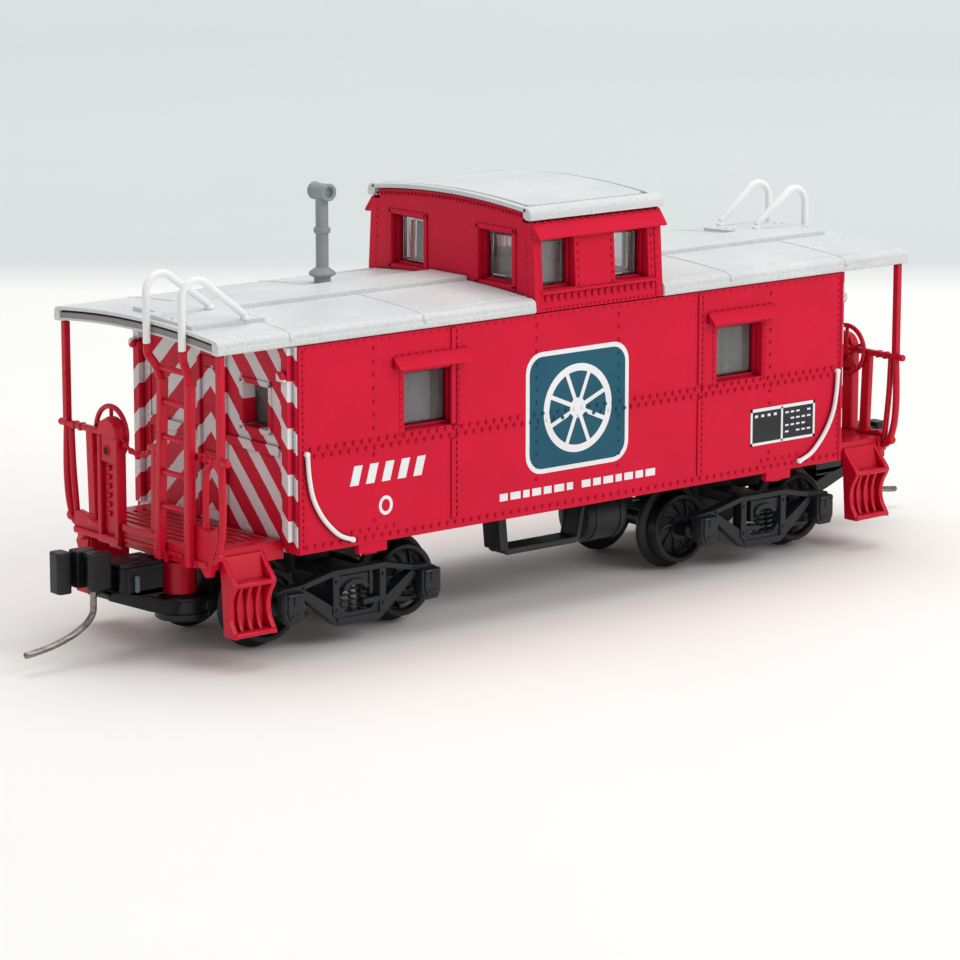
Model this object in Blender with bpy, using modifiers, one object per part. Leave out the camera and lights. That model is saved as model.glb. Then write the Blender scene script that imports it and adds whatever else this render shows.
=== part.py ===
"""Model caboose in N scale (1:160), riding on two sprung-style trucks with knuckle couplers.

The car stands on its wheel flanges at z = 0 and runs along X.  End A is at -X and end B is
end A turned half round about the vertical axis.  Every size below is in millimetres; UNIT
turns it into metres where a mesh is made.
"""
from math import cos, pi, radians, sin

import bmesh
import bpy
from mathutils import Matrix, Vector

UNIT = 0.001
GAP = 0.04                      # clearance between pieces that rest on each other

# Track and wheels
WHEEL_TREAD_RADIUS = 2.7
FLANGE_DEPTH = 0.6
WHEEL_CENTRE_Z = WHEEL_TREAD_RADIUS + FLANGE_DEPTH
WHEEL_BACK = 3.75               # inner face of a wheel, from the centre line
FLANGE_WIDTH = 0.55
WHEEL_FACE = 5.55               # outer face of a wheel
AXLE_RADIUS = 0.6
AXLE_TIP_RADIUS = 0.35
AXLE_HALF_LENGTH = 7.4
WHEELBASE = 12.3
TRUCK_CENTRE = 19.8             # each truck pivot, from the middle of the car

# Car body
BODY_HALF_LENGTH = 26.4
BODY_HALF_WIDTH = 9.75
BODY_BOTTOM = 7.65
BODY_TOP = 22.45
SIDE_WALL = 1.4
END_WALL = 1.1
SIDE_WINDOW_CENTRES = (-14.6, 15.5)
SIDE_WINDOW_WIDTH = 4.7
SIDE_WINDOW_BOTTOM = 15.3
SIDE_WINDOW_TOP = 19.5
END_WINDOW_CENTRE = -4.9
END_WINDOW_WIDTH = 2.95
END_WINDOW_BOTTOM = 16.05
END_WINDOW_TOP = 19.05
AWNING_REACH = 0.9
AWNING_HALF_LENGTH = 3.4
AWNING_LOW = 19.9
AWNING_HIGH = 20.8
TAB_HALF_LENGTH = 1.3           # tabs hanging below the sides at the bolsters
TAB_DROP = 0.7

# Main roof
ROOF_HALF_LENGTH = 33.3
ROOF_HALF_WIDTH = 9.95
EAVE_BOTTOM = BODY_TOP + GAP
EAVE_HEIGHT = 1.0
ROOF_RISE = 0.55
ROOF_SHELL = 0.95               # thickness of the overhanging roof ends, arched above and below
ROOF_BAND_INNER = 9.2           # inner edge of the straight-bottomed eave bands
RUNNING_BOARD_HALF_WIDTH = 2.1
RUNNING_BOARD_END = 31.9
BOARD_THICKNESS = 0.3
SIDE_BOARD_OUT = 6.4            # lateral board by the ladder reaches this far from centre
SIDE_BOARD_END = 26.6

# Cupola
CUPOLA_START = -4.9
CUPOLA_END = 7.55
CUPOLA_WALL = 1.1
CUPOLA_TOP = 29.0
CUPOLA_LEAN = 0.45              # each side leans in this far from the roof line to the top
CUPOLA_WINDOW_BOTTOM = 24.05
CUPOLA_WINDOW_TOP = 27.7
CUPOLA_SIDE_WINDOWS = ((-4.0, -0.9), (3.0, 6.25))
CUPOLA_END_WINDOWS = ((3.0, 6.8), (-7.2, -3.4))
CUPOLA_ROOF_OVERHANG = 0.25
CUPOLA_ROOF_EAVE = 0.95         # height of the side eave bands
CUPOLA_ROOF_RISE = 0.6
CUPOLA_ROOF_SKIN = 0.35         # thickness seen over the arched end walls
CUPOLA_ARCH_HALF = 8.9          # half width of the arched top of an end wall
VISOR_LOW = 27.95
VISOR_HIGH = 28.85

# Smokejack
JACK_X = -13.6
JACK_Y = 4.1
JACK_PIPE_RADIUS = 0.47
JACK_TOP = 30.7                 # centre line of the cross cap
JACK_CAP_RADIUS = 0.62
JACK_CAP_HALF_LENGTH = 0.95

# End platforms, end A
DECK_TOP = 8.55
DECK_BOTTOM = 7.2
DECK_END = 33.0
DECK_HALF_WIDTH = 8.05
SILL_HALF_WIDTH = 9.6
SILL_BOTTOM = 7.5
SILL_THICKNESS = 0.9
STEP_INNER_X = 28.3
STEP_OUTER_X = 31.95
STEP_FACE = 9.75
STEP_CHEEK = 0.4
STEP_BOTTOM = 2.5
STEP_MIDDLE = 6.35
STEP_CHEEK_EDGE = ((8.25, 7.95), (9.55, 6.5), (9.6, 6.05), (9.1, 5.2), (8.95, 4.4), (9.1, 3.6),
                   (9.55, 2.9), (9.75, 2.5))  # outer edge of a cheek as (out, up), top to bottom
STEP_CHEEK_BACK = ((8.4, 2.5), (8.15, 6.0), (7.95, 7.95))  # its inner edge, bottom to top
BOSS_X = 29.7
BOSS_RADIUS = 1.4
BOSS_BOTTOM = 3.9
BOSS_TOP = 6.3
BOSS_NECK_RADIUS = 1.1

# End railings, end A
RAIL_X = 32.7
RAIL_Z = 15.05
POST_Y = 9.35
POST_HALF = 0.26
INNER_POSTS = (6.2, -1.6, -7.5)
RAIL_KNOB_Y = 10.3
STAND_Y = (3.1, 5.0)
STAND_TOP = 16.4
BRAKE_WHEEL_X = 32.15
BRAKE_WHEEL_Y = 4.15
BRAKE_WHEEL_Z = 15.05
BRAKE_WHEEL_RADIUS = 2.05
LADDER_X = 33.42
STILE_HALF = 0.27
STILES = (-2.85, -6.15)
STILE_FLARE = 0.75
RUNG_Z = (11.2, 13.6, 16.1, 18.6, 21.0)
HANDRAIL_RADIUS = 0.27
HANDRAIL_X = 33.65
HANDRAIL_BEND_Z = 26.0
HANDRAIL_FOOT_X = 28.4

# Trucks, measured from the truck pivot, leading towards end A
FRAME_INNER = 7.15
FRAME_OUTER = 8.1
JOURNAL_OUTER = 8.85
JOURNAL_HALF_WIDTH = 0.93
BOLSTER_HALF = 1.1
BOLSTER_BOTTOM = 4.5
BOLSTER_SHOULDER = 5.4
BOLSTER_PAD_HALF = 3.2
BOLSTER_TOP = 6.2
PIN_RADIUS = 0.8
PIN_HOLE_RADIUS = 0.95
PAD_BOTTOM = BOLSTER_TOP + 0.05

# Couplers, measured from the middle of the car towards end A
COUPLER_PIVOT_X = 34.0
TRAY_BACK = 32.05
TRAY_FRONT = 35.7
TRAY_HALF_WIDTH = 1.4
TRAY_WALL = 0.3
TRAY_FLOOR = 4.85
TRAY_TOP = 6.52
SHANK_HALF_WIDTH = 0.5
SHANK_DISC_RADIUS = 0.9
SHANK_HOLE_RADIUS = 0.5
POST_RADIUS = 0.42
LIP_SHANK = (4.92, 5.66)
KNUCKLE_SHANK = (5.72, 6.46)
HEAD_START = 36.6
HEAD_FRONT = 38.3
HEAD_BOTTOM = 5.3
HEAD_TOP = 7.9
PIN_WIRE_RADIUS = 0.25
TRIP_PIN_X = 37.5
TRIP_PIN_Y = -0.65
TRIP_PIN_END = 43.2
TRIP_PIN_END_Z = 1.45

COLOURS = {
    "red": ((0.62, 0.012, 0.03, 1.0), 0.38, 0.0),
    "silver": ((0.62, 0.64, 0.64, 1.0), 0.42, 0.15),
    "grey": ((0.27, 0.29, 0.30, 1.0), 0.5, 0.0),
    "white": ((0.86, 0.86, 0.85, 1.0), 0.45, 0.0),
    "black": ((0.022, 0.024, 0.028, 1.0), 0.5, 0.0),
    "steel": ((0.42, 0.41, 0.40, 1.0), 0.3, 1.0),
    "glass": ((0.75, 0.78, 0.8, 1.0), 0.08, 0.0),
}


def clear_scene():
    """Remove every object that the new file starts with."""
    for obj in list(bpy.data.objects):
        bpy.data.objects.remove(obj)


def material(name, colour):
    """One Principled material for one sub-part."""
    base, roughness, metallic = COLOURS[colour]
    made = bpy.data.materials.new(name)
    made.use_nodes = True
    shader = made.node_tree.nodes["Principled BSDF"]
    shader.inputs["Base Color"].default_value = base
    shader.inputs["Roughness"].default_value = roughness
    shader.inputs["Metallic"].default_value = metallic
    return made


def from_bmesh(build):
    """A new unlinked-material object made from a bmesh, scaled from millimetres to metres."""
    bmesh.ops.scale(build, vec=(UNIT, UNIT, UNIT), verts=build.verts)
    mesh = bpy.data.meshes.new("shape")
    build.to_mesh(mesh)
    build.free()
    obj = bpy.data.objects.new("shape", mesh)
    bpy.context.scene.collection.objects.link(obj)
    return obj


def box(x, y, z):
    """A block between the two ends given for each axis."""
    build = bmesh.new()
    bmesh.ops.create_cube(build, size=1.0)
    size = [max(pair) - min(pair) for pair in (x, y, z)]
    middle = [(pair[0] + pair[1]) / 2 for pair in (x, y, z)]
    bmesh.ops.scale(build, vec=size, verts=build.verts)
    bmesh.ops.translate(build, vec=middle, verts=build.verts)
    return from_bmesh(build)


def cone(centre, axis, radius, length, segments=24, end_radius=None):
    """A closed cylinder or cone along X, Y or Z, centred on a point."""
    build = bmesh.new()
    tip = radius if end_radius is None else end_radius
    bmesh.ops.create_cone(build, cap_ends=True, segments=segments, radius1=radius,
                          radius2=tip, depth=length)
    turn = {"X": Matrix.Rotation(pi / 2, 3, "Y"), "Y": Matrix.Rotation(-pi / 2, 3, "X"),
            "Z": Matrix.Identity(3)}[axis]
    bmesh.ops.rotate(build, cent=(0, 0, 0), matrix=turn, verts=build.verts)
    bmesh.ops.translate(build, vec=centre, verts=build.verts)
    return from_bmesh(build)


def to_mesh_object(curve_object):
    """Turn a curve object into a welded mesh object."""
    bpy.context.view_layer.update()
    evaluated = curve_object.evaluated_get(bpy.context.evaluated_depsgraph_get())
    mesh = bpy.data.meshes.new_from_object(evaluated)
    build = bmesh.new()
    build.from_mesh(mesh)
    bmesh.ops.remove_doubles(build, verts=build.verts, dist=1e-7)
    bmesh.ops.recalc_face_normals(build, faces=build.faces)
    build.to_mesh(mesh)
    build.free()
    obj = bpy.data.objects.new("shape", mesh)
    obj.matrix_world = curve_object.matrix_world
    bpy.context.scene.collection.objects.link(obj)
    bpy.data.objects.remove(curve_object)
    return obj


def plate(outline, axis, start, end):
    """A flat outline with a thickness: points are (along X, up) for Y and (along Y, up) for X."""
    data = bpy.data.curves.new("outline", "CURVE")
    data.dimensions = "2D"
    data.fill_mode = "BOTH"
    data.extrude = abs(end - start) / 2 * UNIT
    spline = data.splines.new("POLY")
    spline.points.add(len(outline) - 1)
    for point, (across, up) in zip(spline.points, outline):
        point.co = (across * UNIT, up * UNIT, 0, 1)
    spline.use_cyclic_u = True
    obj = bpy.data.objects.new("outline", data)
    bpy.context.scene.collection.objects.link(obj)
    middle = (start + end) / 2 * UNIT
    stand = Matrix.Rotation(pi / 2, 4, "X")
    if axis == "Y":
        obj.matrix_world = Matrix.Translation((0, middle, 0)) @ stand
    else:
        obj.matrix_world = Matrix.Translation((middle, 0, 0)) @ Matrix.Rotation(pi / 2, 4, "Z") @ stand
    return to_mesh_object(obj)


def rod(points, radius, sides=2):
    """A round wire through the given points, with closed ends."""
    data = bpy.data.curves.new("wire", "CURVE")
    data.dimensions = "3D"
    data.bevel_depth = radius * UNIT
    data.bevel_resolution = sides
    data.use_fill_caps = True
    spline = data.splines.new("POLY")
    spline.points.add(len(points) - 1)
    for point, place in zip(spline.points, points):
        point.co = (*(value * UNIT for value in place), 1)
    obj = bpy.data.objects.new("wire", data)
    bpy.context.scene.collection.objects.link(obj)
    return to_mesh_object(obj)


def turned(profile, segments=24):
    """A solid of revolution about Z; the profile is (radius, height), listed top to bottom."""
    build = bmesh.new()
    line = [build.verts.new((radius, 0, height)) for radius, height in profile]
    for first, second in zip(line, line[1:]):
        build.edges.new((first, second))
    obj = from_bmesh(build)
    screw = obj.modifiers.new("Turn", "SCREW")
    screw.axis = "Z"
    screw.steps = segments
    screw.render_steps = segments
    screw.use_merge_vertices = True
    screw.merge_threshold = 1e-7
    screw.use_smooth_shade = True
    return bake(obj)


def bake(obj):
    """Replace the object's mesh by its evaluated mesh and drop the modifiers."""
    bpy.context.view_layer.update()
    evaluated = obj.evaluated_get(bpy.context.evaluated_depsgraph_get())
    mesh = bpy.data.meshes.new_from_object(evaluated)
    obj.modifiers.clear()
    obj.data = mesh
    obj.data.transform(obj.matrix_world)
    obj.matrix_world = Matrix.Identity(4)
    return obj


def combine(base, tools, operation):
    """Join the tools to the base, or cut them out of it, and remove them."""
    for tool in tools:
        boolean = base.modifiers.new(operation.title(), "BOOLEAN")
        boolean.operation = operation
        boolean.solver = "EXACT"
        boolean.object = tool
    bake(base)
    for tool in tools:
        bpy.data.objects.remove(tool)
    return base


def fuse(base, *tools):
    """Join the tools to the base."""
    return combine(base, tools, "UNION")


def cut(base, *tools):
    """Cut the tools out of the base."""
    return combine(base, tools, "DIFFERENCE")


def finish(obj, name, colour, pivot=(0, 0, 0), turn=0.0):
    """Name the piece, turn it to its end of the car and put its origin on its pivot."""
    obj.data.transform(Matrix.Rotation(turn, 4, "Z"))
    origin = Matrix.Rotation(turn, 3, "Z") @ (Vector(pivot) * UNIT)
    obj.data.transform(Matrix.Translation(-origin))
    obj.location = origin
    obj.name = name
    obj.data.name = name
    obj.data.materials.clear()
    obj.data.materials.append(material(name, colour))
    obj.data.shade_smooth()
    obj.data.set_sharp_from_angle(angle=radians(35))
    bpy.context.scene.collection.objects.unlink(obj)
    bpy.data.collections["model_caboose"].objects.link(obj)
    return obj


def roof_height(y):
    """Top surface of the arched main roof at a distance y from the centre line."""
    crown = EAVE_BOTTOM + EAVE_HEIGHT + ROOF_RISE
    return crown - ROOF_RISE * (y / ROOF_HALF_WIDTH) ** 2


def roof_underside(y):
    """Underside of the overhanging roof ends at a distance y from the centre line."""
    return roof_height(y) - ROOF_SHELL


def cupola_skin_underside(y):
    """Underside of the thin cupola roof over an end wall."""
    crown = CUPOLA_TOP + GAP + CUPOLA_ROOF_EAVE + CUPOLA_ROOF_RISE
    return crown - CUPOLA_ROOF_RISE * (y / (ROOF_HALF_WIDTH - CUPOLA_LEAN)) ** 2 - CUPOLA_ROOF_SKIN


def arch_fill(half_width, bottom, surface, lower=0.0, count=16):
    """Closed outline (y, z) that fills the space from a flat bottom up to an arched surface."""
    outline = [(-half_width, bottom), (half_width, bottom)]
    for index in range(count + 1):
        across = half_width - 2 * half_width * index / count
        outline.append((across, surface(across) - lower))
    return outline


def arch_outline(half_width, bottom, side_height, rise, corner, count=10):
    """Closed outline of an arched roof with rounded eaves, points as (y, z)."""
    inner = half_width - corner
    top = []
    for index in range(count + 1):
        across = inner - 2 * inner * index / count
        top.append((across, bottom + side_height + rise * (1 - (across / half_width) ** 2)))
    rim = []
    for step in range(1, 4):
        angle = pi / 2 * step / 4
        rim.append((half_width - corner + corner * sin(angle),
                    bottom + side_height - corner + corner * cos(angle) * 1.1))
    right = [(half_width, bottom), (half_width, bottom + side_height - corner)]
    left = [(-across, up) for across, up in reversed(right)]
    mirrored = [(-across, up) for across, up in rim]
    return right + rim[::-1] + top + mirrored + left


def body_shell():
    """Four walls with window openings, window awnings and bolster tabs."""
    shell = box((-BODY_HALF_LENGTH, BODY_HALF_LENGTH), (-BODY_HALF_WIDTH, BODY_HALF_WIDTH),
                (BODY_BOTTOM, BODY_TOP))
    inner_x = BODY_HALF_LENGTH - END_WALL
    inner_y = BODY_HALF_WIDTH - SIDE_WALL
    cutters = [box((-inner_x, inner_x), (-inner_y, inner_y), (BODY_BOTTOM - 1, BODY_TOP + 1))]
    for centre in SIDE_WINDOW_CENTRES:
        half = SIDE_WINDOW_WIDTH / 2
        cutters.append(box((centre - half, centre + half), (-12, 12),
                           (SIDE_WINDOW_BOTTOM, SIDE_WINDOW_TOP)))
    for end in (-1, 1):
        middle = -end * END_WINDOW_CENTRE
        half = END_WINDOW_WIDTH / 2
        cutters.append(box((end * (inner_x - 1), end * (BODY_HALF_LENGTH + 1)),
                           (middle - half, middle + half), (END_WINDOW_BOTTOM, END_WINDOW_TOP)))
    cut(shell, *cutters)
    extras = []
    for end in (-1, 1):
        arched = arch_fill(ROOF_BAND_INNER - GAP, BODY_TOP - 0.5, roof_underside, GAP)
        extras.append(plate(arched, "X", end * inner_x, end * BODY_HALF_LENGTH))
    for side in (-1, 1):
        wall = BODY_HALF_WIDTH - 0.3
        reach = BODY_HALF_WIDTH + AWNING_REACH
        slope = [(side * wall, AWNING_HIGH + 0.3), (side * wall, AWNING_HIGH - 0.2),
                 (side * reach, AWNING_LOW - 0.25), (side * reach, AWNING_LOW)]
        for centre in SIDE_WINDOW_CENTRES:
            extras.append(plate(slope, "X", centre - AWNING_HALF_LENGTH, centre + AWNING_HALF_LENGTH))
        for end in (-1, 1):
            middle = end * TRUCK_CENTRE
            extras.append(box((middle - TAB_HALF_LENGTH, middle + TAB_HALF_LENGTH),
                              (side * (BODY_HALF_WIDTH - 0.6), side * (BODY_HALF_WIDTH - 0.05)),
                              (BODY_BOTTOM - TAB_DROP, BODY_BOTTOM + 0.4)))
    fuse(shell, *extras)
    finish(shell, "body_shell", "red")


def underframe():
    """Floor plate with centre sill, bolster pads, equipment cradle and air reservoir."""
    side = BODY_HALF_WIDTH - SIDE_WALL - GAP
    end = BODY_HALF_LENGTH - END_WALL - GAP
    floor = box((-end, end), (-side, side), (7.6, 8.4))
    parts = [box((-23.9, 23.9), (-1.5, 1.5), (6.9, 8.0))]
    for centre in (-TRUCK_CENTRE, TRUCK_CENTRE):
        parts.append(cone((centre, 0, (PAD_BOTTOM + 8.0) / 2), "Z", 2.3, 8.0 - PAD_BOTTOM))
        parts.append(box((centre - 0.9, centre + 0.9), (-side + 0.1, side - 0.1), (7.2, 8.0)))
    cradle = [(-5.6, 7.9), (-5.1, 4.1), (2.2, 4.1), (3.0, 7.9), (2.6, 7.9), (1.8, 4.5),
              (-4.75, 4.5), (-5.2, 7.9)]
    parts.append(plate(cradle, "Y", -6.6, -4.6))
    parts.append(cone((6.2, -3.6, 5.2), "X", 2.0, 4.2, 20))
    parts.append(box((4.6, 7.8), (-4.1, -3.1), (6.0, 8.0)))
    parts.append(cone((1.6, 0.8, 6.0), "X", 1.0, 5.6, 16))
    parts.append(box((-5.5, -2.6), (3.2, 6.6), (5.0, 8.0)))
    fuse(floor, *parts)
    holes = [cone((centre, 0, 6.8), "Z", PIN_RADIUS + 0.03, 1.5) for centre in
             (-TRUCK_CENTRE, TRUCK_CENTRE)]
    cut(floor, *holes)
    finish(floor, "underframe", "black")


def main_roof():
    """Arched roof with rounded eaves, running board and lateral boards, open at the cupola."""
    outline = arch_outline(ROOF_HALF_WIDTH, EAVE_BOTTOM, EAVE_HEIGHT, ROOF_RISE, 0.55)
    roof = plate(outline, "X", -ROOF_HALF_LENGTH, ROOF_HALF_LENGTH)
    plug_x = BODY_HALF_LENGTH - END_WALL - GAP
    plug_y = BODY_HALF_WIDTH - SIDE_WALL - GAP
    parts = [box((-plug_x, plug_x), (-plug_y, plug_y), (EAVE_BOTTOM - 0.9, EAVE_BOTTOM + 0.3))]
    top = roof_height(0) + BOARD_THICKNESS
    board = RUNNING_BOARD_HALF_WIDTH
    parts.append(box((-RUNNING_BOARD_END, RUNNING_BOARD_END), (-board, board), (EAVE_BOTTOM + 0.5, top)))
    for end in (-1, 1):
        edge = roof_height(SIDE_BOARD_OUT) + BOARD_THICKNESS
        low = EAVE_BOTTOM + 0.5
        slope = [(end * board * 0.5, low), (end * board * 0.5, top - 0.04),
                 (end * SIDE_BOARD_OUT, edge), (end * SIDE_BOARD_OUT, low)]
        parts.append(plate(slope, "X", end * SIDE_BOARD_END, end * (ROOF_HALF_LENGTH - 0.4)))
    fuse(roof, *parts)
    inner_y = BODY_HALF_WIDTH - CUPOLA_WALL
    cutters = [box((-plug_x + 0.9, plug_x - 0.9), (-plug_y + 0.9, plug_y - 0.9), (20, EAVE_BOTTOM + 0.1)),
               box((CUPOLA_START + 1.3, CUPOLA_END - 1.3), (-inner_y + 1.2, inner_y - 1.2), (20, 30))]
    for side in (-1, 1):
        cutters.append(box((CUPOLA_START - GAP, CUPOLA_END + GAP),
                           (side * (inner_y - GAP), side * (ROOF_HALF_WIDTH + 1)),
                           (EAVE_BOTTOM - 0.01, 30)))
    cutters.append(box((CUPOLA_START - GAP, CUPOLA_END + GAP), (-board - 0.5, board + 0.5),
                       (roof_height(0), 30)))
    hollow = arch_fill(ROOF_BAND_INNER, EAVE_BOTTOM - 2, roof_underside)
    for end in (-1, 1):
        cutters.append(plate(hollow, "X", end * (plug_x + GAP / 2), end * (ROOF_HALF_LENGTH + 1)))
    cut(roof, *cutters)
    finish(roof, "main_roof", "silver")


def cupola_shell():
    """Cupola walls with windows and side visors; the sides lean in towards the roof."""
    foot = BODY_HALF_WIDTH
    head = BODY_HALF_WIDTH - CUPOLA_LEAN
    lean = [(-foot, EAVE_BOTTOM), (foot, EAVE_BOTTOM), (head, CUPOLA_TOP), (-head, CUPOLA_TOP)]
    shell = plate(lean, "X", CUPOLA_START, CUPOLA_END)
    inner_y = head - CUPOLA_WALL
    inner_x = (CUPOLA_START + CUPOLA_WALL, CUPOLA_END - CUPOLA_WALL)
    arched = arch_fill(CUPOLA_ARCH_HALF, CUPOLA_TOP - 0.5, cupola_skin_underside, GAP)
    fuse(shell, plate(arched, "X", CUPOLA_START, inner_x[0]), plate(arched, "X", inner_x[1], CUPOLA_END))
    cutters = [box(inner_x, (-inner_y, inner_y), (EAVE_BOTTOM - 1, CUPOLA_TOP + 2))]
    for window in CUPOLA_SIDE_WINDOWS:
        cutters.append(box(window, (-12, 12), (CUPOLA_WINDOW_BOTTOM, CUPOLA_WINDOW_TOP)))
    for window in CUPOLA_END_WINDOWS:
        cutters.append(box((CUPOLA_START - 1, CUPOLA_END + 1), window,
                           (CUPOLA_WINDOW_BOTTOM + 0.2, CUPOLA_WINDOW_TOP + 0.3)))
    saddle = arch_outline(ROOF_HALF_WIDTH, EAVE_BOTTOM - 1, EAVE_HEIGHT + 1 + GAP, ROOF_RISE, 0.55)
    seat = plate(saddle, "X", CUPOLA_START - 1, CUPOLA_END + 1)
    keep = BODY_HALF_WIDTH - CUPOLA_WALL - 0.01
    for side in (-1, 1):
        cut(seat, box((CUPOLA_START - 2, CUPOLA_END + 2), (side * keep, side * 12), (20, 30)))
    cutters.append(seat)
    cut(shell, *cutters)
    visors = []
    for side in (-1, 1):
        wall = head - 0.3
        reach = head + AWNING_REACH
        slope = [(side * wall, VISOR_HIGH + 0.1), (side * wall, VISOR_HIGH - 0.3),
                 (side * reach, VISOR_LOW - 0.25), (side * reach, VISOR_LOW)]
        visors.append(plate(slope, "X", CUPOLA_START + 0.02, CUPOLA_END - 0.02))
    fuse(shell, *visors)
    finish(shell, "cupola_shell", "red")


def cupola_roof():
    """Arched cupola roof with thick rounded eaves."""
    outline = arch_outline(ROOF_HALF_WIDTH - CUPOLA_LEAN, CUPOLA_TOP + GAP, CUPOLA_ROOF_EAVE,
                           CUPOLA_ROOF_RISE, 0.5)
    roof = plate(outline, "X", CUPOLA_START - CUPOLA_ROOF_OVERHANG, CUPOLA_END + CUPOLA_ROOF_OVERHANG)
    inner_y = BODY_HALF_WIDTH - CUPOLA_LEAN - CUPOLA_WALL - GAP
    plug = box((CUPOLA_START + CUPOLA_WALL + GAP, CUPOLA_END - CUPOLA_WALL - GAP), (-inner_y, inner_y),
               (CUPOLA_TOP - 0.5, CUPOLA_TOP + 0.5))
    fuse(roof, plug)
    over_wall = arch_fill(CUPOLA_ARCH_HALF + GAP, CUPOLA_TOP - 1, cupola_skin_underside)
    cut(roof, plate(over_wall, "X", CUPOLA_START - 1, CUPOLA_START + CUPOLA_WALL + GAP),
        plate(over_wall, "X", CUPOLA_END - CUPOLA_WALL - GAP, CUPOLA_END + 1))
    finish(roof, "cupola_roof", "silver")


def glazing():
    """Clear window inserts pressed against the inside of the walls."""
    thickness = 0.35
    lap = 0.35
    for number, centre in enumerate(SIDE_WINDOW_CENTRES, start=1):
        half = SIDE_WINDOW_WIDTH / 2 + lap
        for side, place in ((-1, "near"), (1, "far")):
            inner = side * (BODY_HALF_WIDTH - SIDE_WALL - GAP)
            pane = box((centre - half, centre + half), (inner - side * thickness, inner),
                       (SIDE_WINDOW_BOTTOM - lap, SIDE_WINDOW_TOP + lap))
            finish(pane, f"side_glazing_{place}_{number}", "glass")
    for end, letter in ((-1, "a"), (1, "b")):
        middle = -end * END_WINDOW_CENTRE
        half = END_WINDOW_WIDTH / 2 + lap
        inner = end * (BODY_HALF_LENGTH - END_WALL - GAP)
        pane = box((inner - end * thickness, inner), (middle - half, middle + half),
                   (END_WINDOW_BOTTOM - lap, END_WINDOW_TOP + lap))
        finish(pane, f"end_glazing_{letter}", "glass")
    low = CUPOLA_WINDOW_BOTTOM - 0.1
    high = CUPOLA_WINDOW_TOP + 0.4
    first = CUPOLA_SIDE_WINDOWS[0][0] + 0.3
    last = CUPOLA_SIDE_WINDOWS[1][1] - 0.1
    for side, place in ((-1, "near"), (1, "far")):
        inner = side * (BODY_HALF_WIDTH - CUPOLA_LEAN - CUPOLA_WALL - GAP)
        pane = box((first, last), (inner - side * thickness, inner), (low, high))
        finish(pane, f"cupola_glazing_{place}", "glass")
    reach = BODY_HALF_WIDTH - CUPOLA_LEAN - CUPOLA_WALL - thickness - 2 * GAP
    for inner, inwards, letter in ((CUPOLA_START + CUPOLA_WALL + GAP, 1, "a"),
                                   (CUPOLA_END - CUPOLA_WALL - GAP, -1, "b")):
        pane = box((inner, inner + inwards * thickness * 0.8), (-reach, reach), (low + 0.2, high))
        finish(pane, f"cupola_end_glazing_{letter}", "glass")


def smokejack():
    """Stove pipe with a conical flashing, a collar and an open cross cap."""
    foot = roof_height(JACK_Y) + GAP
    pipe = JACK_PIPE_RADIUS
    profile = [(0, JACK_TOP), (pipe, JACK_TOP), (pipe, foot + 4.1), (pipe + 0.14, foot + 4.0),
               (pipe + 0.14, foot + 3.65), (pipe, foot + 3.55), (pipe, foot + 1.05),
               (1.0, foot + 0.55), (0.62, foot + 0.38), (0.62, foot), (0, foot)]
    jack = turned(profile, 20)
    jack.data.transform(Matrix.Translation((JACK_X * UNIT, JACK_Y * UNIT, 0)))
    cap = cone((JACK_X, JACK_Y, JACK_TOP), "Y", JACK_CAP_RADIUS, 2 * JACK_CAP_HALF_LENGTH, 20)
    fuse(jack, cap)
    bores = []
    for side in (-1, 1):
        bores.append(cone((JACK_X, JACK_Y + side * JACK_CAP_HALF_LENGTH, JACK_TOP), "Y",
                          JACK_CAP_RADIUS * 0.55, 0.9, 16))
    cut(jack, *bores)
    finish(jack, "smokejack", "grey")


def step_pair(side):
    """Two treads between wavy cheeks, with a sloping riser above and an upright one below."""
    edge = [(side * out, up) for out, up in STEP_CHEEK_BACK + STEP_CHEEK_EDGE]
    first, last = -STEP_OUTER_X, -STEP_INNER_X
    near_cheek = plate(edge, "X", first, first + STEP_CHEEK)
    far_cheek = plate(edge, "X", last - STEP_CHEEK, last)
    inside = (first + 0.1, last - 0.1)
    riser = [(side * 8.0, 7.9), (side * 8.3, 7.9), (side * 8.8, STEP_MIDDLE), (side * 8.8, 5.9),
             (side * 8.25, 5.9)]
    back = [(side * 8.45, STEP_BOTTOM + 0.02), (side * 8.75, STEP_BOTTOM + 0.02), (side * 8.55, 6.2),
            (side * 8.2, 6.2)]
    fuse(near_cheek, far_cheek,
         plate(riser, "X", inside[0] + 0.01, inside[1] - 0.01),
         plate(back, "X", inside[0] + 0.02, inside[1] - 0.02),
         box(inside, (side * 8.3, side * 9.5), (STEP_MIDDLE - 0.35, STEP_MIDDLE)),
         box(inside, (side * 8.5, side * (STEP_FACE - 0.05)), (STEP_BOTTOM + 0.01, STEP_BOTTOM + 0.4)))
    return near_cheek


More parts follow.
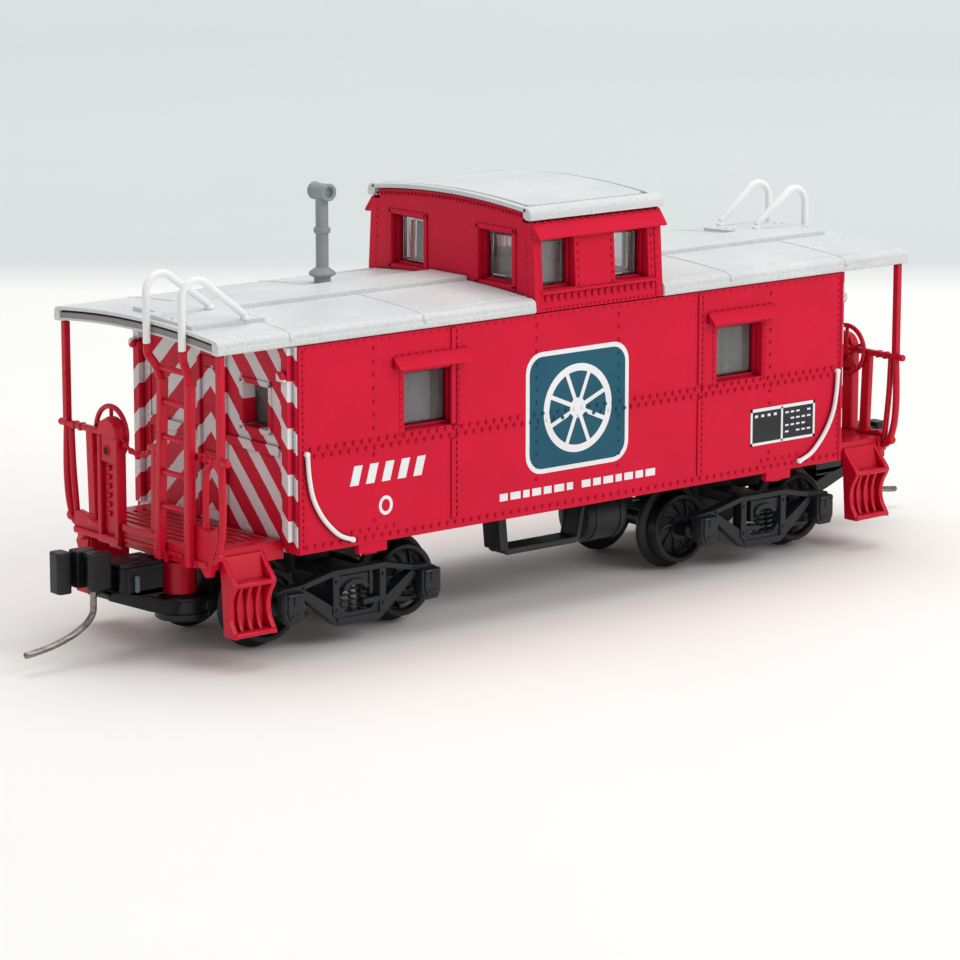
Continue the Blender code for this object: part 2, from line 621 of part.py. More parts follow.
def end_platform(letter, turn):
    """Deck, end sill, two side steps and the coupler pad boss, moulded as one piece."""
    deck = box((-DECK_END, -BODY_HALF_LENGTH - GAP), (-DECK_HALF_WIDTH, DECK_HALF_WIDTH),
               (DECK_BOTTOM, DECK_TOP))
    sill = box((-DECK_END, -DECK_END + SILL_THICKNESS), (-SILL_HALF_WIDTH, SILL_HALF_WIDTH),
               (SILL_BOTTOM, DECK_TOP))
    gussets = []
    for side in (-1, 1):
        fin = [(side * 7.4, SILL_BOTTOM + 0.1), (side * 8.5, 6.9), (side * 8.9, 6.9),
               (side * 9.1, SILL_BOTTOM + 0.1)]
        gussets.append(plate(fin, "X", -DECK_END + 0.05, -DECK_END + 0.55))
    neck = (BOSS_TOP + DECK_BOTTOM) / 2
    fuse(deck, sill, step_pair(-1), step_pair(1), *gussets,
         box((-BODY_HALF_LENGTH - 1.5, -23.95), (-2.6, 2.6), (6.9, 7.55)),
         box((-BODY_HALF_LENGTH - 1.5, -BODY_HALF_LENGTH - 0.3), (-2.6, 2.6), (6.9, 8.0)),
         cone((-BOSS_X, 0, (BOSS_BOTTOM + BOSS_TOP) / 2), "Z", BOSS_RADIUS, BOSS_TOP - BOSS_BOTTOM),
         cone((-BOSS_X, 0, neck), "Z", BOSS_NECK_RADIUS, DECK_BOTTOM - BOSS_TOP + 0.6))
    finish(deck, f"end_platform_{letter}", "red", turn=turn)


def end_railing(letter, turn):
    """Corner posts, rails, brake stand, chain and ladder, moulded as one piece."""
    half = POST_HALF
    base = DECK_TOP + GAP
    frame = box((-RAIL_X - half, -RAIL_X + half), (-POST_Y - half, POST_Y + half), (base, base + 0.45))
    parts = []
    for side in (-1, 1):
        parts.append(box((-RAIL_X - half, -RAIL_X + half), (side * (POST_Y - half), side * (POST_Y + half)),
                         (base + 0.01, EAVE_BOTTOM - GAP)))
    for across in INNER_POSTS:
        parts.append(box((-RAIL_X - half + 0.02, -RAIL_X + half - 0.02), (across - half, across + half),
                         (base + 0.1, RAIL_Z)))
    rail = (-RAIL_X - half - 0.02, -RAIL_X + half + 0.02)
    parts.append(box(rail, (STAND_Y[0] + 0.2, RAIL_KNOB_Y), (RAIL_Z - half, RAIL_Z + half)))
    parts.append(box(rail, (-RAIL_KNOB_Y, STILES[1]), (RAIL_Z - half - 0.01, RAIL_Z + half - 0.01)))
    stand_x = (-RAIL_X - 0.6, -RAIL_X + 0.2)
    parts.append(box(stand_x, STAND_Y, (base + 0.02, STAND_TOP - 0.95)))
    parts.append(cone(((stand_x[0] + stand_x[1]) / 2, sum(STAND_Y) / 2, STAND_TOP - 0.95), "X",
                      (STAND_Y[1] - STAND_Y[0]) / 2 - 0.01, 0.78, 20))
    sag = []
    for step in range(7):
        share = step / 6
        across = STAND_Y[0] + 0.3 + (INNER_POSTS[1] - STAND_Y[0] - 0.3) * share
        sag.append((-RAIL_X, across, RAIL_Z - 0.3 - 2.6 * share * (1 - share) - 0.2 * share))
    parts.append(rod(sag, 0.24))
    for across, outwards in zip(STILES, (1, -1)):
        stile = (-LADDER_X - STILE_HALF, -LADDER_X + STILE_HALF)
        parts.append(box(stile, (across - STILE_HALF, across + STILE_HALF), (7.3, RUNG_Z[-1])))
        flare = across + outwards * STILE_FLARE
        parts.append(rod([(-LADDER_X, across, RUNG_Z[-1] - 0.25), (-LADDER_X - 0.1, flare, 21.95),
                          (-LADDER_X - 0.2, flare, EAVE_BOTTOM - 0.1)], STILE_HALF))
        parts.append(box((-LADDER_X - 0.1, -RAIL_X), (across - 0.2, across + 0.2),
                         (base + 0.05, base + 0.35)))
    for height in RUNG_Z:
        parts.append(box((-LADDER_X - 0.2, -LADDER_X + 0.2), (STILES[1], STILES[0]),
                         (height - 0.18, height + 0.18)))
    fuse(frame, *parts)
    recess_y = (STAND_Y[0] + 0.45, STAND_Y[1] - 0.45)
    cut(frame, box((-RAIL_X - 1.5, -RAIL_X - 0.25), recess_y, (SILL_BOTTOM + 1, STAND_TOP - 3.0)))
    finish(frame, f"end_railing_{letter}", "red", turn=turn)


def brake_wheel(letter, turn):
    """Hand brake wheel with a round rim, five spokes and a hub."""
    rim = bmesh.new()
    section = 8
    count = 28
    tube = 0.2
    ring = BRAKE_WHEEL_RADIUS - tube
    start = [rim.verts.new((ring + tube * cos(2 * pi * step / section), 0, tube * sin(2 * pi * step / section)))
             for step in range(section)]
    for first, second in zip(start, start[1:] + start[:1]):
        rim.edges.new((first, second))
    bmesh.ops.spin(rim, geom=rim.verts[:] + rim.edges[:], cent=(0, 0, 0), axis=(0, 0, 1),
                   angle=2 * pi, steps=count, use_merge=True)
    bmesh.ops.recalc_face_normals(rim, faces=rim.faces)
    bmesh.ops.rotate(rim, cent=(0, 0, 0), matrix=Matrix.Rotation(pi / 2, 3, "Y"), verts=rim.verts)
    bmesh.ops.translate(rim, vec=(-BRAKE_WHEEL_X, BRAKE_WHEEL_Y, BRAKE_WHEEL_Z), verts=rim.verts)
    wheel = from_bmesh(rim)
    spokes = []
    for number in range(5):
        angle = 2 * pi * number / 5 + pi / 2
        reach = ring
        spokes.append(rod([(-BRAKE_WHEEL_X, BRAKE_WHEEL_Y, BRAKE_WHEEL_Z),
                           (-BRAKE_WHEEL_X, BRAKE_WHEEL_Y + reach * cos(angle),
                            BRAKE_WHEEL_Z + reach * sin(angle))], 0.15))
    hub = cone((-BRAKE_WHEEL_X, BRAKE_WHEEL_Y, BRAKE_WHEEL_Z), "X", 0.5, 0.55, 16)
    fuse(hub, *spokes)
    fuse(wheel, hub)
    finish(wheel, f"brake_wheel_{letter}", "red", turn=turn)


def roof_handrail(letter, number, across, turn):
    """Bent white wire rising from the ladder, looping over the roof end and down to the roof."""
    bend = 1.25
    points = [(-HANDRAIL_X, across, EAVE_BOTTOM + 0.02), (-HANDRAIL_X, across, HANDRAIL_BEND_Z)]
    slope = radians(40)
    for step in range(1, 8):
        angle = (pi - slope) * step / 7
        points.append((-HANDRAIL_X + bend - bend * cos(angle), across,
                       HANDRAIL_BEND_Z + bend * sin(angle)))
    foot = roof_height(across) + BOARD_THICKNESS + 0.1
    points.append((-HANDRAIL_FOOT_X, across, foot + HANDRAIL_RADIUS))
    wire = rod(points, HANDRAIL_RADIUS)
    finish(wire, f"roof_handrail_{letter}{number}", "white", turn=turn)


def side_grab(letter, side, turn):
    """Curved white grab iron low on the side by the platform."""
    reach = side * (BODY_HALF_WIDTH + GAP + 0.2)
    top = (-25.6, 15.0)
    corner = (-24.9, 10.9)
    tip = (-21.4, 8.6)
    points = [(top[0], reach, top[1]), (top[0] + 0.05, reach, 13.0)]
    for step in range(9):
        share = step / 8
        along = (1 - share) ** 2 * corner[0] * 1.02 + 2 * share * (1 - share) * (corner[0] + 0.6) + share ** 2 * tip[0]
        up = (1 - share) ** 2 * 12.2 + 2 * share * (1 - share) * 9.3 + share ** 2 * tip[1]
        points.append((along, reach, up))
    wire = rod(points, 0.2)
    place = "near" if (side < 0) == (turn == 0) else "far"
    finish(wire, f"side_grab_{letter}_{place}", "white", turn=turn)


def kingpin(letter, turn):
    """Headed pin that holds the truck to the underframe."""
    profile = [(0, 7.35), (PIN_RADIUS, 7.35), (PIN_RADIUS, BOLSTER_BOTTOM - GAP),
               (1.5, BOLSTER_BOTTOM - GAP), (1.5, 4.05), (0, 4.05)]
    pin = turned(profile, 24)
    pin.data.transform(Matrix.Translation((-TRUCK_CENTRE * UNIT, 0, 0)))
    finish(pin, f"kingpin_{letter}", "black", turn=turn)


def sideframe(side):
    """Cast side frame outline with three windows and two journal boxes."""
    half = WHEELBASE / 2
    middle = -TRUCK_CENTRE
    outer = [(-7.0, 4.95), (-5.2, 5.0), (-2.2, 5.65), (2.3, 5.65), (5.2, 5.0), (7.0, 4.85), (7.0, 4.3),
             (5.1, 4.15), (1.95, 1.56), (-1.95, 1.56), (-5.1, 4.15), (-7.0, 4.3)]
    start = side * FRAME_INNER
    end = side * FRAME_OUTER
    frame = plate([(middle + along, up) for along, up in outer], "Y", start, end)
    boxes = []
    for place in (-half, half):
        boxes.append(box((middle + place - JOURNAL_HALF_WIDTH, middle + place + JOURNAL_HALF_WIDTH),
                         (side * (FRAME_INNER + 0.03), side * JOURNAL_OUTER), (2.35, 4.65)))
    fuse(frame, *boxes)
    windows = []
    for hand in (-1, 1):
        triangle = [(middle + hand * along, up) for along, up in ((2.4, 5.1), (4.75, 4.65), (2.4, 3.15))]
        windows.append(plate(triangle, "Y", side * 6, side * 9))
    windows.append(box((middle - 1.45, middle + 1.45), (side * 6, side * 9), (2.2, 4.9)))
    cut(frame, *windows)
    return frame


def truck_frame(letter, turn):
    """Two side frames, bolster, tongue and coupler tray in one moulding."""
    centre = -TRUCK_CENTRE
    frame = box((centre - BOLSTER_HALF, centre + BOLSTER_HALF), (-FRAME_OUTER + 0.2, FRAME_OUTER - 0.2),
                (BOLSTER_BOTTOM, BOLSTER_SHOULDER))
    parts = [box((centre - BOLSTER_HALF, centre + BOLSTER_HALF), (-BOLSTER_PAD_HALF, BOLSTER_PAD_HALF),
                 (BOLSTER_BOTTOM + 0.1, BOLSTER_TOP))]
    for side in (-1, 1):
        parts.append(sideframe(side))
        parts.append(box((centre - 1.9, centre + 1.9), (side * (FRAME_INNER + 0.05), side * (FRAME_OUTER - 0.3)),
                         (4.3, 5.3)))
        parts.append(box((centre - 1.9, centre + 1.9), (side * (FRAME_INNER + 0.06), side * (FRAME_OUTER - 0.1)),
                         (1.8, 2.6)))
    tongue = 1.5
    parts += [
        box((-28.0, centre - 0.5), (-tongue, tongue), (BOLSTER_BOTTOM, 5.3)),
        box((-28.05, -27.2), (-tongue + 0.02, tongue - 0.02), (3.1, 5.28)),
        box((-31.95, -27.3), (-tongue + 0.04, tongue - 0.04), (3.12, 3.9)),
        cone((-BOSS_X + 0.2, 0, 2.9), "Z", 1.95, 1.8, 28),
    ]
    bar = [(-36.3, TRAY_FLOOR - 0.05), (-36.3, 4.2), (-31.6, 2.75), (-30.4, 2.65), (-30.4, 3.4),
           (-31.2, 3.5), (-33.2, 4.1), (-33.2, TRAY_FLOOR - 0.05)]
    parts.append(plate(bar, "Y", -1.42, 1.42))
    tray = box((-TRAY_FRONT, -TRAY_BACK), (-TRAY_HALF_WIDTH, TRAY_HALF_WIDTH), (4.3, TRAY_TOP))
    inner = TRAY_HALF_WIDTH - TRAY_WALL
    cut(tray, box((-TRAY_FRONT - 1, -TRAY_BACK - TRAY_WALL), (-inner, inner), (TRAY_FLOOR, TRAY_TOP + 1)))
    parts.append(tray)
    fuse(frame, *parts)
    holes = [cone((centre, 0, 5.3), "Z", PIN_HOLE_RADIUS, 4.0)]
    for place in (-WHEELBASE / 2, WHEELBASE / 2):
        for side in (-1, 1):
            holes.append(cone((centre + place, side * FRAME_INNER, WHEEL_CENTRE_Z), "Y",
                              AXLE_TIP_RADIUS + 0.12, 0.8, 16))
    cut(frame, *holes)
    finish(frame, f"truck_frame_{letter}", "black", pivot=(-TRUCK_CENTRE, 0, BOLSTER_TOP), turn=turn)


def wheelset(letter, number, turn):
    """Two flanged wheels and their pointed axle, turned in one piece."""
    tread = WHEEL_TREAD_RADIUS
    flange = WHEEL_TREAD_RADIUS + FLANGE_DEPTH
    half = [(0, AXLE_HALF_LENGTH), (AXLE_TIP_RADIUS, AXLE_HALF_LENGTH), (AXLE_TIP_RADIUS, FRAME_INNER - 0.35),
            (AXLE_RADIUS, FRAME_INNER - 0.6), (AXLE_RADIUS, WHEEL_FACE - 0.6), (tread - 0.55, WHEEL_FACE - 0.45),
            (tread - 0.4, WHEEL_FACE), (tread, WHEEL_FACE), (tread, WHEEL_BACK + FLANGE_WIDTH),
            (flange, WHEEL_BACK + FLANGE_WIDTH - 0.2), (flange, WHEEL_BACK), (AXLE_RADIUS, WHEEL_BACK)]
    profile = half + [(radius, -height) for radius, height in reversed(half)]
    axle = turned(profile, 26)
    axle.data.transform(Matrix.Rotation(pi / 2, 4, "X"))
    place = -TRUCK_CENTRE + (-1 if number == 1 else 1) * WHEELBASE / 2
    pivot = (place, 0, WHEEL_CENTRE_Z)
    axle.data.transform(Matrix.Translation(Vector(pivot) * UNIT))
    finish(axle, f"wheelset_{letter}{number}", "black", pivot=pivot, turn=turn)


def shank(levels):
    """Flat coupler shank with a pierced round root at one of the two levels."""
    low, high = levels
    root = cone((-COUPLER_PIVOT_X, 0, (low + high) / 2), "Z", SHANK_DISC_RADIUS, high - low)
    fuse(root, box((-HEAD_START + 0.2, -COUPLER_PIVOT_X), (-SHANK_HALF_WIDTH, SHANK_HALF_WIDTH),
                   (low + 0.01, high - 0.01)))
    cut(root, cone((-COUPLER_PIVOT_X, 0, (low + high) / 2), "Z", SHANK_HOLE_RADIUS, 2.0, 20))
    return root


def coupler(letter, turn):
    """Two-piece knuckle coupler: knuckle half above, lip half with the trip pin below."""
    split = 0.03
    pivot = (-COUPLER_PIVOT_X, 0, (LIP_SHANK[0] + KNUCKLE_SHANK[1]) / 2)
    knuckle = shank(KNUCKLE_SHANK)
    fuse(knuckle,
         box((-HEAD_START - 0.4, -HEAD_START + 0.3), (split, SHANK_HALF_WIDTH), (5.74, 6.44)),
         box((-HEAD_FRONT, -HEAD_START), (split, 1.35), (HEAD_BOTTOM, HEAD_TOP)),
         box((-HEAD_FRONT - 0.9, -HEAD_FRONT + 0.2), (0.75, 1.55), (HEAD_BOTTOM - 0.1, HEAD_TOP - 0.3)),
         cone((-HEAD_FRONT - 0.95, 0.95, (HEAD_BOTTOM + HEAD_TOP) / 2 - 0.25), "Z", 0.78,
              HEAD_TOP - HEAD_BOTTOM, 20))
    finish(knuckle, f"coupler_knuckle_{letter}", "black", pivot=pivot, turn=turn)
    lip = shank(LIP_SHANK)
    fuse(lip,
         box((-HEAD_START - 0.4, -HEAD_START + 0.3), (-SHANK_HALF_WIDTH, -split), (4.94, 5.64)),
         box((-HEAD_FRONT + 0.3, -HEAD_START), (-1.35, -split), (HEAD_BOTTOM, HEAD_TOP)),
         box((-HEAD_FRONT - 0.25, -HEAD_FRONT + 0.6), (-1.36, -0.95), (HEAD_BOTTOM + 0.01, HEAD_TOP + 0.01)))
    finish(lip, f"coupler_lip_{letter}", "black", pivot=pivot, turn=turn)
    points = [(-TRIP_PIN_X, TRIP_PIN_Y, HEAD_BOTTOM - GAP), (-TRIP_PIN_X, TRIP_PIN_Y, 4.0)]
    for step in range(1, 10):
        share = step / 9
        angle = radians(78) * share
        reach = TRIP_PIN_END - TRIP_PIN_X
        along = TRIP_PIN_X + reach * (1 - cos(angle)) / (1 - cos(radians(78)))
        up = 4.0 - (4.0 - TRIP_PIN_END_Z) * sin(angle) / sin(radians(78))
        points.append((-along, TRIP_PIN_Y, up))
    pin = rod(points, PIN_WIRE_RADIUS)
    finish(pin, f"trip_pin_{letter}", "steel", pivot=pivot, turn=turn)


def coupler_cover(letter, turn):
    """Lid of the coupler tray with the pivot post under it."""
    lid = box((-TRAY_FRONT, -TRAY_BACK), (-TRAY_HALF_WIDTH, TRAY_HALF_WIDTH),
              (TRAY_TOP + GAP, TRAY_TOP + GAP + 0.3))
    fuse(lid, cone((-COUPLER_PIVOT_X, 0, (TRAY_FLOOR + GAP + TRAY_TOP + 0.2) / 2), "Z", POST_RADIUS,
                   TRAY_TOP + 0.2 - TRAY_FLOOR - GAP, 20))
    finish(lid, f"coupler_cover_{letter}", "black", turn=turn)


def centring_spring(letter, turn):
    """Small coil behind the coupler shanks that brings them back to the middle."""
    turns = 3
    steps = 10 * turns
    wire = 0.07
    coil = 0.5
    start = COUPLER_PIVOT_X - SHANK_DISC_RADIUS - GAP - wire
    end = TRAY_BACK + TRAY_WALL + GAP + wire
    middle = (TRAY_FLOOR + TRAY_TOP) / 2
    points = []
    for step in range(steps + 1):
        angle = 2 * pi * step / 10
        along = start + (end - start) * step / steps
        points.append((-along, coil * cos(angle), middle + coil * sin(angle)))
    finish(rod(points, wire, 1), f"centring_spring_{letter}", "steel", turn=turn)


def ballast_weight():
    """Steel weight lying on the floor inside the car."""
    weight = box((-17.5, 17.5), (-6.6, 6.6), (8.4 + GAP, 10.4))
    finish(weight, "ballast_weight", "steel")


def build():
    """Make the whole car."""
    clear_scene()
    collection = bpy.data.collections.new("model_caboose")
    bpy.context.scene.collection.children.link(collection)
    body_shell()
    underframe()
    main_roof()
    cupola_shell()
    cupola_roof()
    glazing()
    smokejack()
    ballast_weight()
    for letter, turn in (("a", 0.0), ("b", pi)):
        end_platform(letter, turn)
        end_railing(letter, turn)
        brake_wheel(letter, turn)
        roof_handrail(letter, 1, STILES[0] + STILE_FLARE, turn)
        roof_handrail(letter, 2, STILES[1] - STILE_FLARE * 0.2, turn)
        for side in (-1, 1):
            side_grab(letter, side, turn)
        kingpin(letter, turn)
        truck_frame(letter, turn)
        for number in (1, 2):
            wheelset(letter, number, turn)
        coupler(letter, turn)
        coupler_cover(letter, turn)
        centring_spring(letter, turn)


build()
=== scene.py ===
"""Looks for the model caboose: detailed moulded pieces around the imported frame, in millimetres.

The car runs along X with end A at -X; end B is end A turned half round.  MM turns sizes into metres.
"""
from math import cos, hypot, pi, radians, sin, sqrt

import bmesh
import bpy
from mathutils import Matrix, Vector


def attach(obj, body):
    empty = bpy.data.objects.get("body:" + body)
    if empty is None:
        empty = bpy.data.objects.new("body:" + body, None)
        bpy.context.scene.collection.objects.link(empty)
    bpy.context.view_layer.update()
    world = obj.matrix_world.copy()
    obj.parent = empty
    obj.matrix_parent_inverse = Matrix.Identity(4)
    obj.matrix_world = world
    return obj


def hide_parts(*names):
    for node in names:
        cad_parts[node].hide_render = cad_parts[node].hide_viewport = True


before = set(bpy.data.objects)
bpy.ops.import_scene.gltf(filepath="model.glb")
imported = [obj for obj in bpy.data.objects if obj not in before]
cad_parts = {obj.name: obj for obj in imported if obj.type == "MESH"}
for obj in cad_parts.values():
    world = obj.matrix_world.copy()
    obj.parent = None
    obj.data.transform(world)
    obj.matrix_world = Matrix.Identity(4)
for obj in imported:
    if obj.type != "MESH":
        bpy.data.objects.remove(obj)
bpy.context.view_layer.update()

MM = 0.001

# ---------------------------------------------------------------- shape tools


class Shape:
    """Closed shapes in millimetres, gathered for one piece."""

    def __init__(self):
        self.points = []
        self.faces = []

    def add(self, points, faces, slot=0):
        base = len(self.points)
        self.points += [tuple(p) for p in points]
        self.faces += [([base + i for i in face], slot) for face in faces]

    def join(self, other, matrix=None):
        """Add the shapes of another one, moved by the matrix if there is one."""
        points = other.points if matrix is None else [matrix @ Vector(p) for p in other.points]
        base = len(self.points)
        self.points += [tuple(p) for p in points]
        self.faces += [([base + i for i in face], slot) for face, slot in other.faces]
        return self

    def mirrored(self, axis):
        """The same shapes reflected through the middle plane square to the axis."""
        flip = [1, 1, 1]
        flip["xyz".index(axis)] = -1
        made = Shape()
        made.points = [tuple(a * b for a, b in zip(p, flip)) for p in self.points]
        made.faces = [(face[::-1], slot) for face, slot in self.faces]
        return made

    def turned(self):
        """The same shapes half round the vertical axis, for the other end of the car."""
        made = Shape()
        made.points = [(-x, -y, z) for x, y, z in self.points]
        made.faces = list(self.faces)
        return made


def from_bmesh(shape, build, slot):
    """Add a finished bmesh to the shape and free it."""
    build.verts.index_update()
    shape.add([v.co.copy() for v in build.verts], [[v.index for v in f.verts] for f in build.faces], slot)
    build.free()


def soften(build, width, segments, angle=0.4):
    """Round every edge that turns by more than the angle."""
    if width <= 0:
        return
    edges = [e for e in build.edges if e.is_manifold and e.calc_face_angle(0) > angle]
    bmesh.ops.bevel(build, geom=edges, offset=width, segments=segments, profile=0.5, affect="EDGES",
                    clamp_overlap=True)


def block(shape, x, y, z, soft=0.06, slot=0, segments=2, lean=None):
    """A softened block between the two ends given for each axis; lean maps a corner to a new place."""
    build = bmesh.new()
    bmesh.ops.create_cube(build, size=1.0)
    for vert in build.verts:
        vert.co = [min(pair) + (c + 0.5) * abs(pair[1] - pair[0]) for pair, c in zip((x, y, z), vert.co)]
        if lean:
            vert.co = lean(*vert.co)
    soften(build, soft, segments)
    from_bmesh(shape, build, slot)


def prism(shape, outline, axis, start, end, soft=0.05, slot=0, segments=2, angle=0.4):
    """An outline pushed from start to end along an axis; points are (x, z), (y, z) or (x, y)."""
    order = {"y": lambda u, v, w: (u, w, v), "x": lambda u, v, w: (w, u, v), "z": lambda u, v, w: (u, v, w)}[axis]
    build = bmesh.new()
    rings = [[build.verts.new(order(u, v, w)) for u, v in outline] for w in (start, end)]
    build.faces.new(rings[0])
    build.faces.new(rings[1][::-1])
    count = len(outline)
    for i in range(count):
        j = (i + 1) % count
        build.faces.new((rings[0][j], rings[0][i], rings[1][i], rings[1][j]))
    bmesh.ops.recalc_face_normals(build, faces=build.faces)
    soften(build, soft, segments, angle)
    from_bmesh(shape, build, slot)


def pierced(shape, us, vs, holes, place, inner, outer, soft=0.07, slot=0):
    """A plate with rectangular holes; place(u, v, depth) puts its points."""
    us = sorted(set(us) | {h[0] for h in holes} | {h[1] for h in holes})
    vs = sorted(set(vs) | {h[2] for h in holes} | {h[3] for h in holes})
    build = bmesh.new()
    grid = {}

    def vert(i, j, depth):
        key = (i, j, depth)
        if key not in grid:
            grid[key] = build.verts.new(place(us[i], vs[j], depth))
        return grid[key]

    def solid(i, j):
        if not (0 <= i < len(us) - 1 and 0 <= j < len(vs) - 1):
            return False
        u, v = (us[i] + us[i + 1]) / 2, (vs[j] + vs[j + 1]) / 2
        return not any(h[0] < u < h[1] and h[2] < v < h[3] for h in holes)

    for i in range(len(us) - 1):
        for j in range(len(vs) - 1):
            if not solid(i, j):
                continue
            corners = ((i, j), (i + 1, j), (i + 1, j + 1), (i, j + 1))
            build.faces.new([vert(a, b, outer) for a, b in corners])
            build.faces.new([vert(a, b, inner) for a, b in corners[::-1]])
            for (a, b), (c, d), (di, dj) in zip(corners, corners[1:] + corners[:1],
                                                ((0, -1), (1, 0), (0, 1), (-1, 0))):
                if not solid(i + di, j + dj):
                    build.faces.new((vert(a, b, outer), vert(c, d, outer), vert(c, d, inner), vert(a, b, inner)))
    bmesh.ops.recalc_face_normals(build, faces=build.faces)
    soften(build, soft, 2, 1.0)
    from_bmesh(shape, build, slot)


def frame_of(direction):
    """Two directions square to the given one."""
    helper = Vector((0, 0, 1)) if abs(direction.z) < 0.9 else Vector((1, 0, 0))
    side = direction.cross(helper).normalized()
    return side, side.cross(direction).normalized()


def smooth_path(points, steps=6):
    """Points along a smooth curve through the given ones."""
    pts = [Vector(p) for p in points]
    pts = [2 * pts[0] - pts[1]] + pts + [2 * pts[-1] - pts[-2]]
    line = []
    for a, b, c, d in zip(pts, pts[1:], pts[2:], pts[3:]):
        for step in range(steps):
            t = step / steps
            line.append(0.5 * ((2 * b) + (c - a) * t + (2 * a - 5 * b + 4 * c - d) * t * t
                               + (3 * b - a - 3 * c + d) * t ** 3))
    line.append(pts[-2])
    return line


def tube(shape, points, radius, sides=10, slot=0, cap=True):
    """A round wire through the points with domed ends; radius may be one number or one for each point."""
    pts = [Vector(p) for p in points]
    radii = [radius] * len(pts) if isinstance(radius, (int, float)) else list(radius)
    directions = []
    for i in range(len(pts)):
        a, b = pts[max(i - 1, 0)], pts[min(i + 1, len(pts) - 1)]
        directions.append((b - a).normalized())
    side, up = frame_of(directions[0])
    rings = []
    for i, (p, d, r) in enumerate(zip(pts, directions, radii)):
        side = (side - d * side.dot(d)).normalized()
        up = side.cross(d).normalized()
        rings.append((p, side.copy(), up, r, d))
    full = []
    if cap:
        p, s, u, r, d = rings[0]
        full += [(p - d * r * 0.45, s, u, r * 0.55, d), (p - d * r * 0.2, s, u, r * 0.88, d)]
    full += rings
    if cap:
        p, s, u, r, d = rings[-1]
        full += [(p + d * r * 0.2, s, u, r * 0.88, d), (p + d * r * 0.45, s, u, r * 0.55, d)]
    turns = [2 * pi * k / sides for k in range(sides)]
    verts = [p + s * (r * cos(a)) + u * (r * sin(a)) for p, s, u, r, _ in full for a in turns]
    shape.add(verts, loft(len(full), sides), slot)


def lathe(shape, profile, centre, axis="z", segments=32, slot=0):
    """A solid of revolution; profile is (radius, height) from one end to the other, radius 0 at the ends."""
    turn = {"z": Matrix.Identity(3), "y": Matrix.Rotation(-pi / 2, 3, "X"),
            "x": Matrix.Rotation(pi / 2, 3, "Y")}[axis]
    verts, faces = [], []
    rows = []
    for radius, height in profile:
        if radius <= 1e-6:
            rows.append([len(verts)])
            verts.append(Vector(centre) + turn @ Vector((0, 0, height)))
        else:
            row = []
            for k in range(segments):
                a = 2 * pi * k / segments
                row.append(len(verts))
                verts.append(Vector(centre) + turn @ Vector((radius * cos(a), radius * sin(a), height)))
            rows.append(row)
    for low, high in zip(rows, rows[1:]):
        for k in range(segments):
            j = (k + 1) % segments
            if len(low) == 1 and len(high) == 1:
                continue
            if len(low) == 1:
                faces.append((low[0], high[j], high[k]))
            elif len(high) == 1:
                faces.append((low[k], low[j], high[0]))
            else:
                faces.append((low[k], low[j], high[j], high[k]))
    for row, flip in ((rows[0], True), (rows[-1], False)):
        if len(row) > 1:
            faces.append(tuple(row[::-1]) if flip else tuple(row))
    shape.add(verts, faces, slot)


def mirror(half):
    """A profile and its mirror image: (radius, height) points, then the same with the heights turned over."""
    return half + [(r, -h) for r, h in half[::-1]]


def flanks(centre, half):
    """An outline even about a centre line, from (distance, height) points down one side and up the other."""
    return [(centre - d, z) for d, z in half] + [(centre + d, z) for d, z in half[::-1]]


def disc(shape, centre, axis, radius, length, soft=0.08, segments=32, slot=0):
    """A round boss with softened rims, centred on a point."""
    half = length / 2
    rim = [(0, -half), (radius - soft, -half), (radius - soft * 0.3, -half + soft * 0.3), (radius, -half + soft)]
    lathe(shape, mirror(rim), centre, axis, segments, slot)


FACING = {"-y": (0, -1, 0), "-x": (-1, 0, 0), "+z": (0, 0, 1)}


def rivet(shape, x, y, z, normal, radius, height, slot=0, long=1.0):
    """A low dome on a face, stretched upward by long; normal is -y, -x, +z or a vector."""
    radius, height = radius * 1.1, height * 1.25
    d = Vector(FACING.get(normal, normal) if isinstance(normal, str) else normal)
    side, up = frame_of(d)
    centre = Vector((x, y, z))
    verts, faces = [], []
    sides = 7
    for scale, lift in ((1.0, -0.03), (0.98, height * 0.35), (0.62, height * 0.86)):
        for k in range(sides):
            a = 2 * pi * k / sides
            flat = side * (radius * scale * cos(a)) + up * (radius * long * scale * sin(a))
            verts.append(centre + flat + d * lift)
    verts.append(centre + d * height)
    for i in range(2):
        for k in range(sides):
            j = (k + 1) % sides
            faces.append((i * sides + k, (i + 1) * sides + k, (i + 1) * sides + j, i * sides + j))
    for k in range(sides):
        faces.append((2 * sides + k, 3 * sides, 2 * sides + (k + 1) % sides))
    faces.append(tuple(range(sides)))
    shape.add(verts, faces, slot)


def loft(rows, sides, closed=False):
    """Faces between rows of points, each a ring of so many sides; closed joins the last row to the first."""
    faces = []
    for i in range(rows if closed else rows - 1):
        low, high = i * sides, (i + 1) % rows * sides
        for k in range(sides):
            j = (k + 1) % sides
            faces.append((low + k, low + j, high + j, high + k))
    if not closed:
        faces.append(tuple(range(sides))[::-1])
        faces.append(tuple((rows - 1) * sides + k for k in range(sides)))
    return faces


def annulus(shape, section, x, sides):
    """A ring about the upright line through (x, 0); section is a closed run of (radius, height)."""
    turns = [2 * pi * k / sides for k in range(sides)]
    verts = [(x + r * cos(a), r * sin(a), z) for r, z in section for a in turns]
    shape.add(verts, loft(len(section), sides, True))


def spread(start, end, pitch):
    """Evenly spaced values from start to end, close to the pitch."""
    count = max(1, round(abs(end - start) / pitch))
    return [start + (end - start) * i / count for i in range(count + 1)]


# ---------------------------------------------------------------- materials


